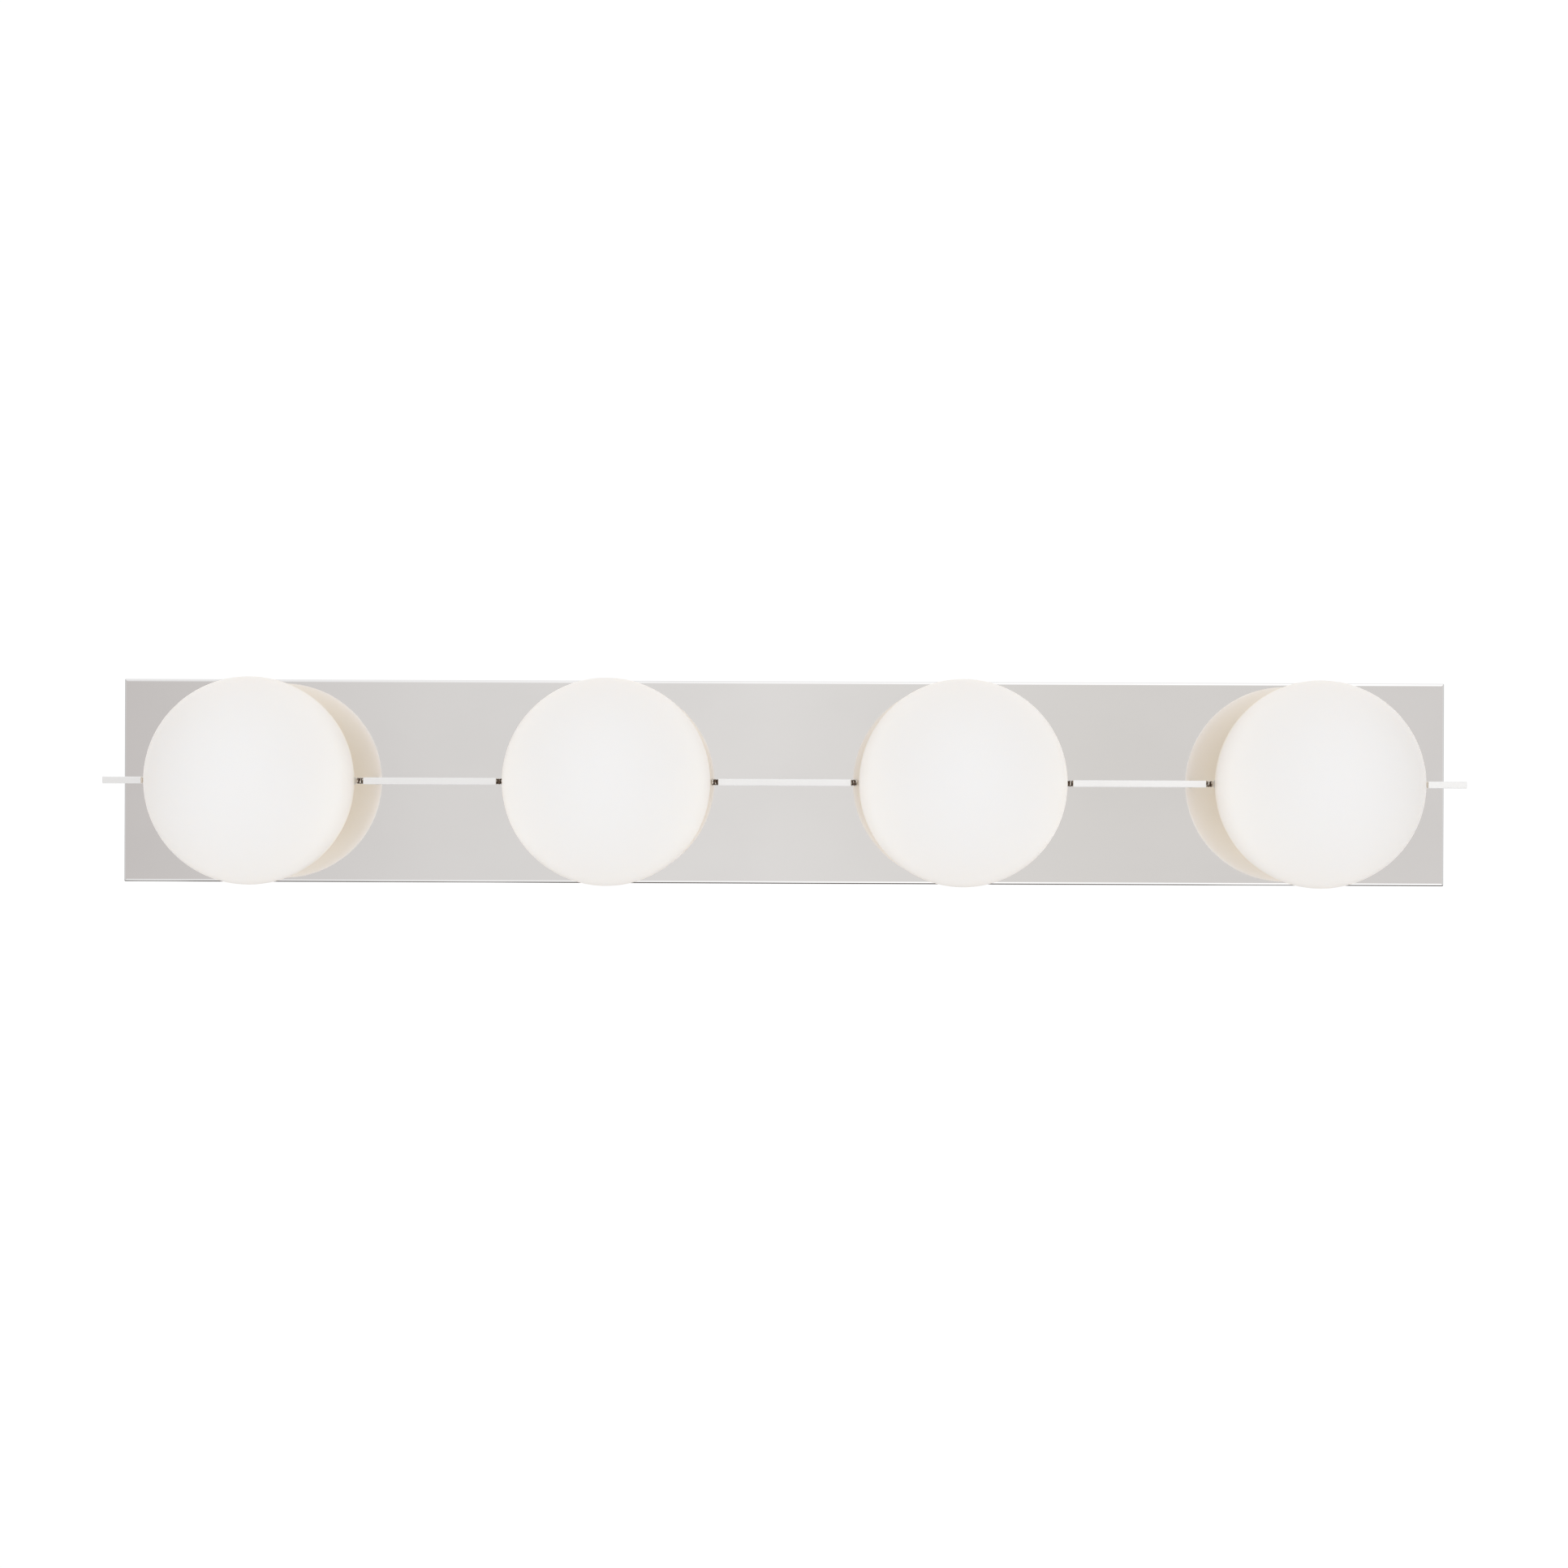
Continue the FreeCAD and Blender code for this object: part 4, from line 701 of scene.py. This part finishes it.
# ------------------------------------------------------------------ wiring
# Insulated copper leads inside the pan and posts, and the three twist-on connectors that join them to
# the house wiring.
wear("lead_neutral", moulded("lead_white", (0.80, 0.80, 0.78), (0.73, 0.73, 0.70), 0.4))
wear("link_leads", moulded("link_white", (0.80, 0.80, 0.78), (0.73, 0.73, 0.70), 0.4))
BLACK_LEAD = moulded("lead_black", (0.012, 0.012, 0.013), (0.022, 0.022, 0.024), 0.38)
wear("lead_line", BLACK_LEAD)
wear("lead_black", BLACK_LEAD)
wear("lead_red", moulded("lead_red", (0.42, 0.015, 0.012), (0.34, 0.01, 0.01), 0.38))
wear("lead_ground", moulded("lead_green", (0.02, 0.20, 0.05), (0.015, 0.15, 0.04), 0.38))
wear("wire_nuts", moulded("wire_nut_plastic", (0.72, 0.20, 0.02), (0.62, 0.16, 0.015), 0.45))


# ------------------------------------------------------------------ the studio
# A pale floor well below, a white room all round and a grey scrim in front, which the mirror shows. A
# long lens stands two metres off, square to the plate and rolled by a hair.
FLOOR_Z = -1.0
FLOOR_SHEET = 0.02
FLOOR_FRONT, FLOOR_BACK = -3.8, 1.8
FLOOR_HALF_WIDTH, FLOOR_CORNER = 4.5, 0.8
FLOOR_LIFT, FLOOR_WHITE = 0.10, 0.45
PAPER = (1.03, 1.03, 1.03, 1)


def floor_finish():
    """Pale paint, lit a little from below, which the camera sees nearly as white as the paper behind it."""
    finish = Finish("floor_paint", Roughness=0.7, Emission_Color=(1, 1, 1), Emission_Strength=FLOOR_LIFT)
    finish.put("Base Color", finish.mix(finish.band(finish.noise(3, 3), 0.3, 0.7), (0.88, 0.88, 0.875),
                                        (0.86, 0.86, 0.855)))
    is_camera = finish.node("ShaderNodeLightPath", {}, {}, "Is Camera Ray")
    paper = finish.node("ShaderNodeEmission", {}, {"Color": PAPER})
    paint = finish.shader.outputs["BSDF"]
    surface = paint.links[0].to_socket
    shown = finish.node("ShaderNodeMixShader", {},
                        {0: FLOOR_WHITE * is_camera, 1: Value(finish, paint), 2: paper})
    finish.tree.links.new(shown.socket, surface)
    return finish.material


floor_edge = rounded_rectangle(FLOOR_HALF_WIDTH, (FLOOR_BACK - FLOOR_FRONT) / 2, FLOOR_CORNER)
floor_edge = floor_edge + [0, (FLOOR_BACK + FLOOR_FRONT) / 2]
flat_floor = np.stack([np.stack([floor_edge[:, 0], floor_edge[:, 1], np.full(len(floor_edge), z)], axis=-1)
                       for z in (FLOOR_Z - FLOOR_SHEET, FLOOR_Z)])
floor = skin([flat_floor], "studio_floor")
floor.data.materials.append(floor_finish())


class Room(Finish):
    """The world's nodes, made in the way that a finish's are."""

    def __init__(self, name):
        self.world = bpy.data.worlds.new(name)
        self.world.use_nodes = True
        self.tree = self.world.node_tree
        self.tree.nodes.clear()

    def lit(self, colour):
        return self.node("ShaderNodeBackground", {}, {"Color": colour})


ROOM_LOW, ROOM_HIGH, ROOM_SIDE, ROOM_BEHIND = 1.40, 0.84, 0.46, 0.25
LESS_LEFT, LESS_RIGHT = 0.24, -0.10
SCRIM_SIDE = 0.25
SCRIM_EDGE = 0.05
SCRIM = ((0.088, (0.585, 0.560, 0.548)), (0.28, (0.70, 0.685, 0.672)), (0.50, (0.755, 0.740, 0.725)),
         (0.70, (0.690, 0.672, 0.650)), (0.912, (0.670, 0.650, 0.635)))


def white_room():
    """Light by direction: brighter from below than above, less to the sides and dark low down behind.

    Ahead it is a little less on the left and more on the right, with a low grey scrim across the middle.
    What the camera sees past the object is plain white paper.
    """
    room = Room("white_room")
    way = room.node("ShaderNodeTexCoord", {}, {}, "Generated")
    across, ahead, height = (room.node("ShaderNodeSeparateXYZ", {}, {0: way}, letter) for letter in "XYZ")
    scrim = room.ramp(room.band(across, -SCRIM_SIDE, SCRIM_SIDE, kind="LINEAR"), *SCRIM)
    light = room.band(height, -1, 1, ROOM_LOW, ROOM_HIGH, "LINEAR")
    light = light * room.band(abs(across), 0.2, 0.95, 1, ROOM_SIDE)
    less = room.band(across, -SCRIM_SIDE, SCRIM_SIDE, LESS_LEFT, LESS_RIGHT)
    light = light * (1 - room.band(ahead, -0.85, -0.93) * less)
    low_behind = room.band(ahead, 0.72, 0.9) * room.band(height, -0.02, -0.2)
    light = light * (1 - (1 - ROOM_BEHIND) * low_behind)
    on_scrim = room.band(ahead, -0.90, -0.96) * room.band(abs(height), SCRIM_EDGE + 0.03, SCRIM_EDGE)
    seen = room.mix(on_scrim, light, scrim)
    is_camera = room.node("ShaderNodeLightPath", {}, {}, "Is Camera Ray")
    shown = room.node("ShaderNodeMixShader", {}, {0: is_camera, 1: room.lit(seen), 2: room.lit(PAPER)})
    out = room.tree.nodes.new("ShaderNodeOutputWorld")
    room.tree.links.new(shown.socket, out.inputs["Surface"])
    bpy.context.scene.world = room.world


white_room()
bpy.context.scene.view_settings.view_transform = "Standard"
bpy.context.scene.view_settings.look = "None"

LENS_MM, SENSOR_MM = 70.24, 36
LENS_SHIFT_X, LENS_SHIFT_Y = 0.0088, -0.001
CAMERA_AT = (-0.009, -1.989, 0.0)
ROLL = math.radians(-0.22)
eye = bpy.data.cameras.new("studio_camera")
eye.lens, eye.sensor_width, eye.sensor_fit = LENS_MM, SENSOR_MM, "HORIZONTAL"
eye.shift_x, eye.shift_y = LENS_SHIFT_X, LENS_SHIFT_Y
camera = bpy.data.objects.new("studio_camera", eye)
level_view = Matrix.Rotation(ROLL, 4, "Y") @ Matrix.Rotation(math.pi / 2, 4, "X")
camera.matrix_world = Matrix.Translation(CAMERA_AT) @ level_view
bpy.context.scene.collection.objects.link(camera)
bpy.context.scene.camera = camera
